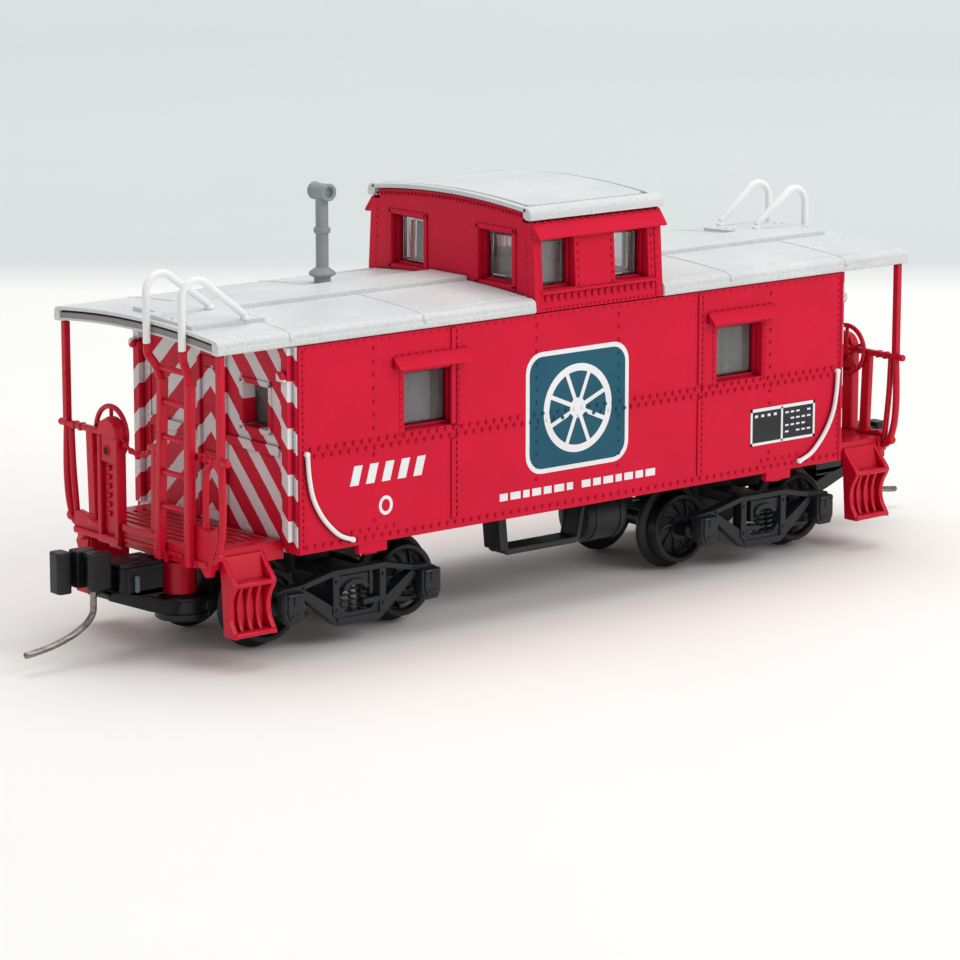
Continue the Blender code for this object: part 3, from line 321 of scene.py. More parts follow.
class Finish:
    """A material being built: its nodes, its shader and the object coordinates."""

    def __init__(self, name):
        self.made = bpy.data.materials.new(name)
        self.made.use_nodes = True
        self.tree = self.made.node_tree
        self.shader = self.tree.nodes["Principled BSDF"]
        self.vector = self.add("ShaderNodeTexCoord").outputs["Object"]

    def add(self, kind, **settings):
        """A new node; settings that start with in_ are input values, the rest are properties."""
        node = self.tree.nodes.new(kind)
        for key, value in settings.items():
            if key.startswith("in_"):
                node.inputs[key[3:]].default_value = value
            else:
                setattr(node, key, value)
        return node

    def put(self, value, socket):
        """Set a socket to a number or colour, or join it to another socket."""
        if isinstance(value, (int, float, tuple)):
            socket.default_value = value
        else:
            self.tree.links.new(value, socket)

    def look(self, **inputs):
        """Set or join inputs of the shader; Base_Color stands for Base Color."""
        for key, value in inputs.items():
            self.put(value, self.shader.inputs[key.replace("_", " ")])

    def noise(self, scale, detail=3.0, rough=0.55, vector=None):
        node = self.add("ShaderNodeTexNoise", in_Scale=scale, in_Detail=detail, in_Roughness=rough)
        self.put(vector or self.vector, node.inputs["Vector"])
        return node.outputs["Fac"]

    def stretched(self, scale):
        node = self.add("ShaderNodeMapping", in_Scale=scale)
        self.put(self.vector, node.inputs["Vector"])
        return node.outputs[0]

    def parts(self):
        """The x, y and z of the object coordinates."""
        node = self.add("ShaderNodeSeparateXYZ")
        self.put(self.vector, node.inputs[0])
        return node.outputs

    def ramp(self, value, low, high, at=(0.35, 0.65)):
        node = self.add("ShaderNodeValToRGB")
        for stop, place, colour in zip(node.color_ramp.elements, at, (low, high)):
            stop.position, stop.color = place, colour
        self.put(value, node.inputs["Fac"])
        return node.outputs["Color"]

    def remap(self, value, *limits):
        """Map the first two limits onto the last two."""
        node = self.add("ShaderNodeMapRange")
        for slot, number in enumerate(limits, start=1):
            node.inputs[slot].default_value = number
        self.put(value, node.inputs[0])
        return node.outputs[0]

    def calc(self, operation, a, b=None):
        node = self.add("ShaderNodeMath", operation=operation)
        self.put(a, node.inputs[0])
        if b is not None:
            self.put(b, node.inputs[1])
        return node.outputs[0]

    def mix(self, factor, a, b, blend="MIX"):
        node = self.add("ShaderNodeMix", data_type="RGBA", blend_type=blend)
        for slot, value in ((0, factor), (6, a), (7, b)):
            self.put(value, node.inputs[slot])
        return node.outputs[2]

    def roughness(self, value, low, high):
        self.look(Roughness=self.remap(value, 0.3, 0.7, low, high))

    def bump(self, strength, scale=5200.0, height=None, distance=0.00003):
        """Fine moulding and paint texture, or a given height."""
        node = self.add("ShaderNodeBump", in_Strength=strength, in_Distance=distance)
        self.put(height or self.noise(scale, 4.0, 0.6), node.inputs["Height"])
        self.look(Normal=node.outputs["Normal"])

    def painted_crease_shade(self, colour, floor):
        """Painted shade: darken a colour where surfaces crowd together, in creases, seams and round rivets, down
        to the floor share.
        """
        occlusion = self.add("ShaderNodeAmbientOcclusion", samples=8, in_Distance=PAINTED_SHADE_REACH * MM)
        share = self.remap(occlusion.outputs["AO"], 0.35, 0.95, floor, 1.0)
        scaled = self.add("ShaderNodeVectorMath", operation="SCALE")
        self.put(colour, scaled.inputs[0])
        self.put(share, scaled.inputs["Scale"])
        return scaled.outputs[0]


# how far, in mm, the painted crease shade reaches
PAINTED_SHADE_REACH = 0.35
RED = (0.66, 0.0065, 0.036)
WHITE = (0.84, 0.82, 0.82)
CHEVRON_TOP = 52.8
CHEVRON_PITCH = 3.3


def shaded(colour, factor):
    return (*(min(1.0, c * factor) for c in colour), 1.0)


def finish_of(name, colour, rough=(0.3, 0.42), vary=0.06, bump=0.25, metallic=0.0,
              scale=5200.0, specular=0.13, crease_shade=None):
    """A painted or moulded finish: slow colour drift, fine roughness change and fine bump; crease_shade, when
    given, is the floor of the painted shade in creases.
    """
    f = Finish(name)
    slow = f.noise(230.0, 4.0)
    f.look(Metallic=metallic, Specular_IOR_Level=specular)
    drift = f.ramp(slow, shaded(colour, 1 - vary), shaded(colour, 1 + vary), (0.3, 0.7))
    f.look(Base_Color=drift if crease_shade is None else f.painted_crease_shade(drift, crease_shade))
    f.roughness(f.noise(1500.0, 3.0), *rough)
    f.bump(bump, scale)
    return f.made


def end_paint():
    """Red end wall with white chevrons, painted over everything on the wall."""
    f = Finish("end_wall_paint")
    x, y, z = f.parts()
    flip = f.calc("SIGN", x)
    across = f.calc("SUBTRACT", f.calc("MULTIPLY", f.calc("MULTIPLY", y, flip), -1.0), 0.2 * MM)
    left = f.calc("MULTIPLY", across, 0.9)
    right = f.calc("MULTIPLY", across, -1.02)
    drop = f.calc("MAXIMUM", left, right)
    wobble = f.calc("MULTIPLY", f.calc("SUBTRACT", f.noise(700.0, 2.0), 0.5), 0.00016)
    level = f.calc("ADD", f.calc("ADD", z, drop), wobble)
    phase = f.calc("DIVIDE", f.calc("SUBTRACT", CHEVRON_TOP * MM, level), CHEVRON_PITCH * MM)
    part = f.calc("FRACT", phase)
    rise = f.remap(part, 0.0, 0.012, 0.0, 1.0)
    fall = f.remap(part, 0.445, 0.457, 1.0, 0.0)
    white = f.calc("MULTIPLY", rise, fall)
    slow = f.noise(260.0, 4.0)
    red = f.ramp(slow, shaded(RED, 0.95), shaded(RED, 1.05))
    pale = f.ramp(slow, shaded(WHITE, 0.93), shaded(WHITE, 1.03))
    # painted shade in the creases, over the red and the white chevrons alike
    f.look(Specular_IOR_Level=0.2, Base_Color=f.painted_crease_shade(f.mix(white, red, pale), 0.4))
    f.roughness(f.noise(1500.0, 3.0), 0.36, 0.5)
    f.bump(0.3)
    return f.made


def roof_paint():
    """Pale silver-grey paint with a fine metallic fleck and slow staining."""
    f = Finish("silver_roof_paint")
    fleck = f.noise(6000.0, 2.0, 0.7)
    slow = f.noise(160.0, 5.0)
    base = f.ramp(slow, (0.66, 0.675, 0.67, 1), (0.75, 0.765, 0.755, 1), (0.3, 0.7))
    speck = f.ramp(fleck, (0.86, 0.86, 0.86, 1), (1, 1, 1, 1), (0.38, 0.62))
    f.look(Base_Color=f.mix(1.0, base, speck, "MULTIPLY"), Metallic=0.05, Specular_IOR_Level=0.3)
    f.roughness(fleck, 0.34, 0.5)
    f.bump(0.3, 5600.0)
    return f.made


def clear_plastic(name, low, high, clarity):
    """Clear moulding with flow lines; the colours set how milky it is."""
    f = Finish(name)
    flow = f.noise(900.0, 3.0, vector=f.stretched((1.0, 1.0, 0.12)))
    f.look(Base_Color=f.ramp(flow, low, high))
    f.roughness(flow, 0.02, 0.07)
    f.look(Transmission_Weight=clarity, IOR=1.49)
    f.bump(0.35, height=flow, distance=0.00004)
    return f.made


def wire_steel():
    """Dull pin wire with scratches along its length."""
    f = Finish("pin_steel")
    scratch = f.noise(5000.0, 4.0, vector=f.stretched((0.25, 1.0, 1.0)))
    f.look(Base_Color=f.ramp(scratch, (0.16, 0.13, 0.115, 1), (0.34, 0.30, 0.275, 1)), Metallic=1.0)
    f.roughness(scratch, 0.22, 0.4)
    f.bump(0.2)
    return f.made


# the red shell paint and the red moulding get painted shade in their creases
red_paint = finish_of("red_shell_paint", RED, (0.34, 0.46), 0.05, 0.28, crease_shade=0.35)
red_plastic = finish_of("red_moulding", (0.60, 0.003, 0.024), (0.26, 0.4), 0.06, 0.2, specular=0.28, crease_shade=0.45)
end_wall_paint = end_paint()
silver = roof_paint()
stack_grey = finish_of("stack_grey", (0.30, 0.33, 0.34), (0.38, 0.5), 0.08, 0.3)
# darker copy of the roof grey that paints the shade on the roof-end fascia and in the cupola roof groove
fascia_painted_shade = finish_of("fascia_painted_shade", (0.27, 0.26, 0.25), (0.4, 0.55), 0.1, 0.3)
fascia_pale = finish_of("fascia_pale", (0.62, 0.62, 0.61), (0.36, 0.5), 0.06, 0.25)
# near-black that paints the shade in the roof-end gap and inside the brake-stand hole
painted_gap_shade = finish_of("painted_gap_shade", (0.035, 0.008, 0.010), (0.5, 0.6), 0.1, 0.2, specular=0.15)
white_wire = finish_of("white_wire_paint", (0.90, 0.90, 0.89), (0.3, 0.42), 0.04, 0.2)
decal_white = finish_of("marking_white", (0.86, 0.85, 0.86), (0.34, 0.44), 0.04, 0.2)
decal_teal = finish_of("marking_teal", (0.018, 0.100, 0.150), (0.3, 0.42), 0.1, 0.25)
decal_black = finish_of("marking_black", (0.035, 0.037, 0.042), (0.34, 0.46), 0.15, 0.25)
black_plastic = finish_of("black_moulding", (0.011, 0.0135, 0.0155), (0.34, 0.5), 0.15, 0.35, scale=3800.0,
                          specular=0.4)
coupler_black = finish_of("coupler_black", (0.008, 0.009, 0.010), (0.3, 0.46), 0.15, 0.3, scale=3800.0,
                          specular=0.35)
wheel_black = finish_of("wheel_black", (0.010, 0.011, 0.013), (0.28, 0.4), 0.15, 0.2, specular=0.35)
# lighter grey that paints the glint on the peg beside the coupler tray
peg_painted_glint = finish_of("peg_painted_glint", (0.16, 0.17, 0.18), (0.3, 0.42), 0.1, 0.2)
weight_steel = finish_of("weight_steel", (0.33, 0.32, 0.31), (0.35, 0.5), 0.15, 0.3, metallic=1.0)
window_smoky = clear_plastic("window_smoky", (0.46, 0.46, 0.47, 1), (0.66, 0.66, 0.67, 1), 0.82)
window_clear = clear_plastic("window_clear", (0.84, 0.85, 0.86, 1), (0.95, 0.95, 0.96, 1), 0.97)
pin_steel = wire_steel()


SHARP_ANGLE = 38.0


def piece(shape, name, materials, nodes=(), body="car_body"):
    """Make the gathered shapes into one object that rides on a body."""
    mesh = bpy.data.meshes.new(name)
    mesh.from_pydata([tuple(c * MM for c in p) for p in shape.points], [], [face for face, _ in shape.faces])
    for material in materials:
        mesh.materials.append(material)
    for polygon, (_, index) in zip(mesh.polygons, shape.faces):
        polygon.material_index = index
    mesh.shade_smooth()
    mesh.set_sharp_from_angle(angle=radians(SHARP_ANGLE))
    obj = bpy.data.objects.new(name, mesh)
    bpy.context.scene.collection.objects.link(obj)
    weighted = obj.modifiers.new("Weighted normals", "WEIGHTED_NORMAL")
    weighted.keep_sharp = True
    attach(obj, body)
    if nodes:
        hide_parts(*nodes)
    return obj


def both_ends(shape, name, materials, node, body="car_body"):
    """One piece at each end of the car from the shape of end A; @ stands for the letter of the end."""
    for letter, made in (("a", shape), ("b", shape.turned())):
        piece(made, f"{name}_{letter}", materials, [node.replace("@", letter)], body.replace("@", letter))


# ---------------------------------------------------------------- sizes

HALF_LENGTH = 26.4
HALF_WIDTH = 9.75
BOTTOM = 7.65
TOP = 22.45
SIDE_WALL = 1.4
END_WALL = 1.1
WINDOWS = (-14.6, 15.5)
WINDOW_WIDTH = 4.7
WINDOW_LOW = 15.3
WINDOW_HIGH = 19.5
END_WINDOW = (-6.375, -3.425, 16.05, 19.05)
EAVE = 22.49
ROOF_END = 33.3
ROOF_Y = 9.95
CUPOLA = (-4.9, 7.55)
CUPOLA_TOP = 29.0
LEAN = 0.45
ROOF_SHELL = 0.95
CUPOLA_WINDOWS = ((-4.0, -0.9), (3.0, 6.25))
CUPOLA_END_WINDOWS = ((-7.2, -3.4), (3.0, 6.8))
EMBLEM = (-5.75, 4.2, 10.6, 19.6)
PANEL = (16.7, 23.5, 9.95, 12.8)
TRUCK = 19.8
AXLE = 6.15
AXLE_HEIGHT = 3.3
POST_X = -32.7
COUPLER_PIVOT = -34.0
STACK = (-13.6, 4.1)


def roof_height(y):
    """Height of the main roof across the car."""
    return 24.04 - 0.55 * (y / ROOF_Y) ** 2


def cupola_roof_height(y):
    """Height of the cupola roof across the car."""
    return 30.59 - 0.6 * (y / 9.5) ** 2


def cupola_face(z):
    """Half width of the cupola at a height."""
    return HALF_WIDTH - LEAN * (z - EAVE) / (CUPOLA_TOP - EAVE)


# ---------------------------------------------------------------- car body


def round_box_depth(x, z, x0, x1, z0, z1, r):
    """Distance inside a rounded box; negative outside."""
    dx = abs(x - (x0 + x1) / 2) - (x1 - x0) / 2 + r
    dz = abs(z - (z0 + z1) / 2) - (z1 - z0) / 2 + r
    if dx > 0 and dz > 0:
        return r - hypot(dx, dz)
    return r - max(dx, dz)


def mark_slot(x, z):
    """Marking colour under a point of the near side: 0 white, 1 teal, 2 black, 3 edges, None bare paint."""
    depth = round_box_depth(x, z, *EMBLEM, 1.5)
    if depth > -0.14:
        reach = hypot(x - (EMBLEM[0] + EMBLEM[1]) / 2, z - (EMBLEM[2] + EMBLEM[3]) / 2)
        if depth < 0.1:
            return 3
        return 0 if depth < 0.3 or reach < 0.75 or 2.75 < reach < 3.3 else 1
    if PANEL[0] - 0.15 < x < PANEL[1] + 0.15 and PANEL[2] - 0.15 < z < PANEL[3] + 0.15:
        return 3
    if -22.2 < x < -15.0 and 9.4 < z < 13.6:
        return 3
    if -8.4 < x < 7.3 and 8.85 < z < 9.8:
        return 3
    return None


def side_rivets():
    """Every rivet of a side wall as (x, z, radius, height)."""
    spots = []
    for x in spread(-25.3, 25.3, 0.75):
        spots.append((x, 15.08, 0.145, 0.13))
        spots.append((x + 0.375, 14.55, 0.145, 0.13))
    for x in spread(-25.7, 25.7, 0.75):
        spots.append((x, 8.15, 0.135, 0.12))
        spots.append((x, 22.2, 0.09, 0.055))
    for middle in (-TRUCK, TRUCK):
        for x in spread(middle - 1.9, middle + 1.9, 0.75):
            spots.append((x, 8.7, 0.12, 0.09))
    for x in (-19.7, -4.7, 3.25, 18.7):
        for z in spread(9.3, 21.6, 0.95):
            if abs(z - 14.8) > 0.5:
                spots.append((x, z, 0.12, 0.1))
    for middle in WINDOWS:
        for z in spread(WINDOW_LOW - 0.1, WINDOW_HIGH + 0.2, 0.5):
            for x in (middle - WINDOW_WIDTH / 2 - 0.3, middle + WINDOW_WIDTH / 2 + 0.3):
                spots.append((x, z, 0.1, 0.08))
    for end in (-12.2, 11.64):
        for z in spread(8.7, 22.0, 0.47):
            spots.append((end, z, 0.1, 0.09))
    for end in (-25.95, 25.95):
        for z in spread(8.2, 22.0, 0.47):
            spots.append((end, z, 0.09, 0.065))
    return spots


def side_wall(marked):
    """Near side wall with its windows, seams, strips and rivets; bare where the markings go."""
    shape = Shape()
    face = -HALF_WIDTH
    holes = [(c - WINDOW_WIDTH / 2, c + WINDOW_WIDTH / 2, WINDOW_LOW, WINDOW_HIGH) for c in WINDOWS]
    pierced(shape, (-HALF_LENGTH, HALF_LENGTH), (BOTTOM, TOP), holes, lambda u, v, d: (u, -d, v),
            HALF_WIDTH - SIDE_WALL, HALF_WIDTH, 0.09)
    for middle in (-TRUCK, TRUCK):
        block(shape, (middle - 1.3, middle + 1.3), (-9.7, -9.15), (6.95, 8.0), 0.12)
        block(shape, (middle - 0.6, middle + 0.6), (-9.5, -9.1), (6.8, 7.4), 0.12)
    for start, end in ((-12.75, -12.35), (11.15, 11.5)):
        for low, high in ((8.45, 14.3), (15.35, 22.3)):
            block(shape, (start, end), (-9.86, -9.6), (low, high), 0.04, segments=1)
    for start, end in ((-26.38, -26.12), (26.12, 26.38)):
        block(shape, (start, end), (-9.83, -9.6), (BOTTOM + 0.02, 22.35), 0.05, segments=1)
    for middle in WINDOWS:
        half = WINDOW_WIDTH / 2
        low, high = WINDOW_LOW, WINDOW_HIGH
        for start, end in ((middle - half - 0.5, middle - half - 0.12),
                           (middle + half + 0.12, middle + half + 0.5)):
            block(shape, (start, end), (-9.79, -9.6), (low - 0.25, high + 0.2), 0.03, segments=1)
        # stepped lip inside the opening
        for z in ((low - 0.2, low + 0.2), (high - 0.16, high + 0.2)):
            block(shape, (middle - half - 0.1, middle + half + 0.1), (-8.95, -8.38), z, 0.07)
        for side in (-1, 1):
            block(shape, (middle + side * (half - 0.14), middle + side * (half + 0.2)), (-8.95, -8.38),
                  (low - 0.1, high + 0.1), 0.07)
    for x, z, radius, height in side_rivets():
        if not marked or mark_slot(x, z) is None:
            rivet(shape, x, face, z, "-y", radius, height)
    return shape


def awning(middle):
    """Rain visor over a side window, near side."""
    shape = Shape()
    half = 3.4
    slope = [(-9.6, 20.86), (-9.6, 20.6), (-10.5, 19.86), (-10.62, 19.84), (-10.64, 19.98), (-9.85, 20.76)]
    prism(shape, slope, "x", middle - half, middle + half, 0.06)
    for side in (-1, 1):
        gable = [(-9.6, 20.75), (-9.6, 19.95), (-10.45, 19.9)]
        prism(shape, gable, "x", middle + side * (half - 0.04), middle + side * (half - 0.3), 0.04)
    for x in spread(middle - half + 0.3, middle + half - 0.3, 0.62):
        rivet(shape, x, -9.8, 20.8, Vector((0, -0.66, 0.75)), 0.09, 0.06)
    return shape


def end_wall():
    """End A wall under the arched roof, with door, window, belt ledge and corner strips."""
    shape = Shape()
    face = -HALF_LENGTH

    def place(u, v, depth):
        if v > 21.0:
            v = 21.0 + (v - 21.0) / (TOP - 21.0) * (roof_height(u) - ROOF_SHELL - 0.06 - 21.0)
        return (-depth, u, v)

    pierced(shape, spread(-8.4, 8.4, 1.2), (BOTTOM, 21.0, TOP), [END_WINDOW], place,
            HALF_LENGTH - END_WALL, HALF_LENGTH, 0.05)
    for span in ((-7.75, -1.55), (1.95, 7.75)):
        block(shape, (face - 0.22, face + 0.2), span, (14.4, 15.1), 0.06)
    # door leaf, jambs and head
    block(shape, (face - 0.1, face + 0.2), (-1.15, 1.45), (8.6, 20.4), 0.04)
    for start, end in ((-1.5, -1.15), (1.45, 1.8)):
        block(shape, (face - 0.3, face + 0.2), (start, end), (8.6, 20.85), 0.06)
    block(shape, (face - 0.34, face + 0.2), (-1.55, 1.85), (20.5, 20.95), 0.06)
    for panel in ((9.4, 13.6), (14.4, 19.6)):
        block(shape, (face - 0.2, face + 0.2), (-0.75, 1.05), panel, 0.05)
    disc(shape, (face - 0.3, -0.9, 13.9), "x", 0.16, 0.4, 0.04, 12)
    # window frame
    y0, y1, low, high = END_WINDOW
    upright, across = (low - 0.3, high + 0.4), (y0 - 0.4, y1 + 0.4)
    for ys, zs in (((y0 - 0.4, y0 - 0.02), upright), ((y1 + 0.02, y1 + 0.4), upright),
                   (across, (high + 0.05, high + 0.45)), (across, (low - 0.4, low - 0.02))):
        block(shape, (face - 0.09, face + 0.1), ys, zs, 0.04, segments=1)
    for z in spread(low - 0.1, high + 0.3, 0.5):
        for y in (y0 - 0.22, y1 + 0.22):
            rivet(shape, face - 0.08, y, z, "-x", 0.08, 0.05)
    # square corner posts with thin flanges, and lamp brackets
    for side in (-1, 1):
        block(shape, (face - 0.1, face + 0.3), (side * 7.8, side * 9.68), (BOTTOM + 0.05, 22.42), 0.04)
        block(shape, (face - 0.57, face + 0.2), (side * 8.55, side * 9.3), (BOTTOM + 0.9, 22.36), 0.07)
        for z in spread(8.6, 22.0, 0.5):
            for y, radius in ((8.15, 0.085), (9.48, 0.075)):
                rivet(shape, face - 0.1, side * y, z, "-x", radius, 0.055)
        block(shape, (face - 0.8, face), (side * 8.25, side * 9.2), (19.9, 20.45), 0.1)
        disc(shape, (face - 0.85, side * 8.9, 20.35), "x", 0.36, 0.4, 0.12, 14)
    for y in spread(-7.4, 7.4, 0.6):
        if not -1.9 < y < 2.1:
            for z in (roof_height(y) - ROOF_SHELL - 0.45, 8.95):
                rivet(shape, face, y, z, "-x", 0.085, 0.055)
    return shape




def shell_piece(shape, name, node="body_shell"):
    """A piece in the red shell paint."""
    piece(shape, name, [red_paint], [node])


shell_piece(side_wall(True), "side_wall_near")
shell_piece(side_wall(False).mirrored("y"), "side_wall_far")
for index, centre in enumerate(WINDOWS, start=1):
    hood = awning(centre)
    shell_piece(hood, f"window_awning_near_{index}")
    shell_piece(hood.mirrored("y"), f"window_awning_far_{index}")
both_ends(end_wall(), "end_wall", [end_wall_paint], "body_shell")


# ---------------------------------------------------------------- roofs


def arch(half, bottom, crown, rise, corner):
    """Closed arched outline with rounded eaves as (y, z)."""
    inner = half - corner
    across = [inner - 2 * inner * i / 20 for i in range(21)]
    top = [(y, crown - rise * (y / half) ** 2) for y in across]
    edge = crown - rise
    rim = [(half - corner + corner * sin(a), edge - corner + corner * cos(a)) for a in
           (pi / 2 * k / 6 for k in range(1, 6))]
    right = [(half, bottom), (half, edge - corner)]
    return right + rim[::-1] + top + [(-y, z) for y, z in rim] + [(-y, z) for y, z in right[::-1]]


def vault(half, upper, lower, surface):
    """Closed (y, z) outline of an arched sheet between two offsets from a surface."""
    across = [half - 2 * half * i / 24 for i in range(25)]
    return [(y, surface(y) + upper) for y in across] + [(y, surface(y) + lower) for y in across[::-1]]


def main_roof():
    """Arched roof with eave bands, thin double-skinned ends, seams and walkways."""
    shape = Shape()
    for end, inner in ((-1, CUPOLA[0]), (1, CUPOLA[1])):
        near_cupola = inner + end * 0.02
        prism(shape, arch(9.6, EAVE + 0.03, 24.04, 0.51, 0.2), "x", end * 25.3, near_cupola, 0.04, angle=0.5)
        # thin skin, a near-black sheet in the gap that paints the shade there, and the fascia in a darker grey
        # that paints its shade, over the platform
        prism(shape, vault(9.62, 0.0, -0.26, roof_height), "x", end * ROOF_END, end * 25.25, 0.04, angle=0.5)
        prism(shape, vault(9.5, -0.2, -0.5, roof_height), "x", end * 33.05, end * 25.25, 0.0, 1)
        prism(shape, vault(9.4, -0.42, -0.95, roof_height), "x", end * 33.24, end * 25.25, 0.05, 2, angle=0.5)
        prism(shape, vault(9.3, -0.8, -0.98, roof_height), "x", end * 33.28, end * 33.0, 0.05, 3, angle=0.5)
        for side in (-1, 1):
            band = [(9.22, 22.53), (9.86, 22.51), (9.95, 22.62), (9.97, 22.9), (9.9, 23.0), (9.93, 23.1),
                    (9.9, 23.3), (9.76, 23.46), (9.5, 23.56), (9.22, 23.58)]
            prism(shape, [(side * y, z) for y, z in band], "x", end * 33.28, near_cupola, 0.05)
            # stepped line above the eave
            line = [(x, side * 8.7, roof_height(8.7)) for x in (end * 33.2, near_cupola)]
            tube(shape, line, 0.05, 6)
        # panel seams
        for x in ((27.0, 15.2) if end < 0 else (26.5, 14.4)):
            ys = [-9.3 + 18.6 * i / 24 for i in range(25)]
            tube(shape, [(end * x, y, roof_height(y) - 0.02) for y in ys], 0.09, 6)
            for side in (-1, 1):
                cap = [(9.0, 23.6), (9.5, 23.62), (9.85, 23.48), (10.02, 23.2), (10.04, 22.95), (9.9, 22.95),
                       (9.0, 23.2)]
                prism(shape, [(side * y, z) for y, z in cap], "x", end * x - 0.15, end * x + 0.15, 0.05)
        # running board
        block(shape, (end * 31.9, near_cupola), (-2.1, 2.1), (23.7, 24.34), 0.07)
        # lateral board
        outline = [(0.8, 23.3), (0.8, 24.33), (2.1, 24.3), (4.0, 24.19), (6.4, roof_height(6.4) + 0.3),
                   (6.4, 23.2)]
        prism(shape, [(end * y, z) for y, z in outline], "x", end * 26.6, end * 32.9, 0.06)
        for y in spread(end * 2.5, end * 6.1, 0.8):
            for x in (end * 27.1, end * 32.4):
                rivet(shape, x, y, roof_height(y) + 0.29, "+z", 0.09, 0.045)
    # saddle under the cupola
    prism(shape, arch(8.55, EAVE - 0.8, 23.98, 0.4, 0.3), "x", CUPOLA[0] - 0.1, CUPOLA[1] + 0.1, 0.02)
    return shape


def cupola_roof():
    """Thin arched roof with thick rounded side eaves and a grooved top panel."""
    shape = Shape()
    x = (CUPOLA[0] - 0.25, CUPOLA[1] + 0.25)
    # thin sheet in the darker grey, painting the shade in the groove round the top panel and at the edges
    prism(shape, vault(9.1, -0.16, -0.33, cupola_roof_height), "x", x[0] + 0.02, x[1] - 0.02, 0.05, 1, angle=0.5)
    prism(shape, vault(8.2, -0.2, -1.4, cupola_roof_height), "x", CUPOLA[0] + 1.2, CUPOLA[1] - 1.2, 0.0)
    for start, end in ((x[0], x[0] + 0.55), (x[1] - 0.55, x[1])):
        prism(shape, vault(9.0, 0.0, -0.34, cupola_roof_height), "x", start, end, 0.07, angle=0.5)
    # rounded top panel inside the groove
    r, half, verts = 0.7, 8.38, []
    rows = spread(-half, half, 0.35)
    for y in rows:
        over = max(0.0, abs(y) - half + r)
        pull = r - sqrt(max(0.0, r * r - over * over))
        z = cupola_roof_height(y)
        left, right = x[0] + 0.82 + pull, x[1] - 0.82 - pull
        verts += [(left, y, z - 0.3), (left, y, z - 0.04), (left + 0.05, y, z + 0.01), (right - 0.05, y, z + 0.01),
                  (right, y, z - 0.04), (right, y, z - 0.3)]
    shape.add(verts, loft(len(rows), 6))
    for side in (-1, 1):
        eave = [(8.62, 29.4), (8.62, 30.14), (9.0, 30.12), (9.3, 29.98), (9.46, 29.75), (9.5, 29.5), (9.5, 29.3),
                (9.42, 29.18), (8.95, 29.18)]
        prism(shape, [(side * y, z) for y, z in eave], "x", *x, 0.08)
        block(shape, (x[0] + 0.05, x[1] - 0.05), (side * 9.3, side * 9.54), (29.2, 29.34), 0.05)
        disc(shape, (0.85, side * 9.46, 29.4), "y", 0.24, 0.22, 0.08, 12)
    return shape


piece(main_roof(), "main_roof_panels", [silver, painted_gap_shade, fascia_painted_shade, fascia_pale], ["main_roof"])
piece(cupola_roof(), "cupola_roof_panel", [silver, fascia_painted_shade], ["cupola_roof"])


# ---------------------------------------------------------------- cupola


def cupola_side():
    """Near side of the cupola, leaning in, with windows, sill line, rivets and visor."""
    shape = Shape()
    holes = [(a, b, 24.05, 27.7) for a, b in CUPOLA_WINDOWS]
    pierced(shape, CUPOLA, (EAVE, CUPOLA_TOP), holes,
            lambda u, v, d: (u, -(cupola_face(v) - d), v), 1.1, 0.0, 0.08)
    slant = Vector((0, -1, LEAN / (CUPOLA_TOP - EAVE))).normalized()

    def dot(x, z, radius=0.1, height=0.08, long=1.0):
        rivet(shape, x, -cupola_face(z), z, slant, radius, height, 0, long)

    for x in spread(-3.8, 6.5, 0.65):
        dot(x, 23.45, 0.15, 0.15, 1.6)
    for x in spread(-4.6, 7.3, 0.42):
        dot(x, 22.68, 0.08, 0.08)
    for start, end in CUPOLA_WINDOWS:
        for z in spread(24.2, 27.7, 0.55):
            dot(start - 0.32, z)
            dot(end + 0.32, z)
        for low, high in ((start, start + 0.14), (end - 0.14, end)):
            block(shape, (low, high), (-8.85, -8.3), (24.0, 27.75), 0.05)
        for low, high in ((24.0, 24.2), (27.56, 27.76)):
            block(shape, (start, end), (-8.85, -8.3), (low, high), 0.05)
    reach = cupola_face(23.85)
    block(shape, (-4.3, 6.95), (-reach - 0.13, -reach + 0.2), (23.74, 23.98), 0.06)

    def lean(x, y, z):
        return x, y - (cupola_face(z) - HALF_WIDTH), z

    for start, end in ((CUPOLA[0] + 0.02, CUPOLA[0] + 0.68), (CUPOLA[1] - 0.68, CUPOLA[1] - 0.02)):
        block(shape, (start, end), (-HALF_WIDTH - 0.07, -HALF_WIDTH + 0.3), (EAVE + 0.04, 27.9), 0.04, lean=lean)
        inner = end - 0.16 if start < 0 else start + 0.16
        for z in spread(22.9, 27.6, 0.5):
            dot(inner, z, 0.075, 0.1)
    # visor
    slope = [(-9.0, 29.16), (-9.0, 28.8), (-10.1, 27.86), (-10.16, 27.86), (-10.18, 28.0), (-9.35, 29.04)]
    prism(shape, slope, "x", CUPOLA[0] + 0.03, CUPOLA[1] - 0.03, 0.05)
    for end, hand in ((CUPOLA[0] + 0.05, 1), (CUPOLA[1] - 0.05, -1)):
        prism(shape, [(-9.1, 28.8), (-9.1, 27.95), (-10.05, 27.82)], "x", end, end + hand * 0.26, 0.03)
    for x in spread(CUPOLA[0] + 0.4, CUPOLA[1] - 0.4, 0.75):
        rivet(shape, x, -9.36, 28.98, Vector((0, -0.66, 0.75)), 0.12, 0.12)
    return shape


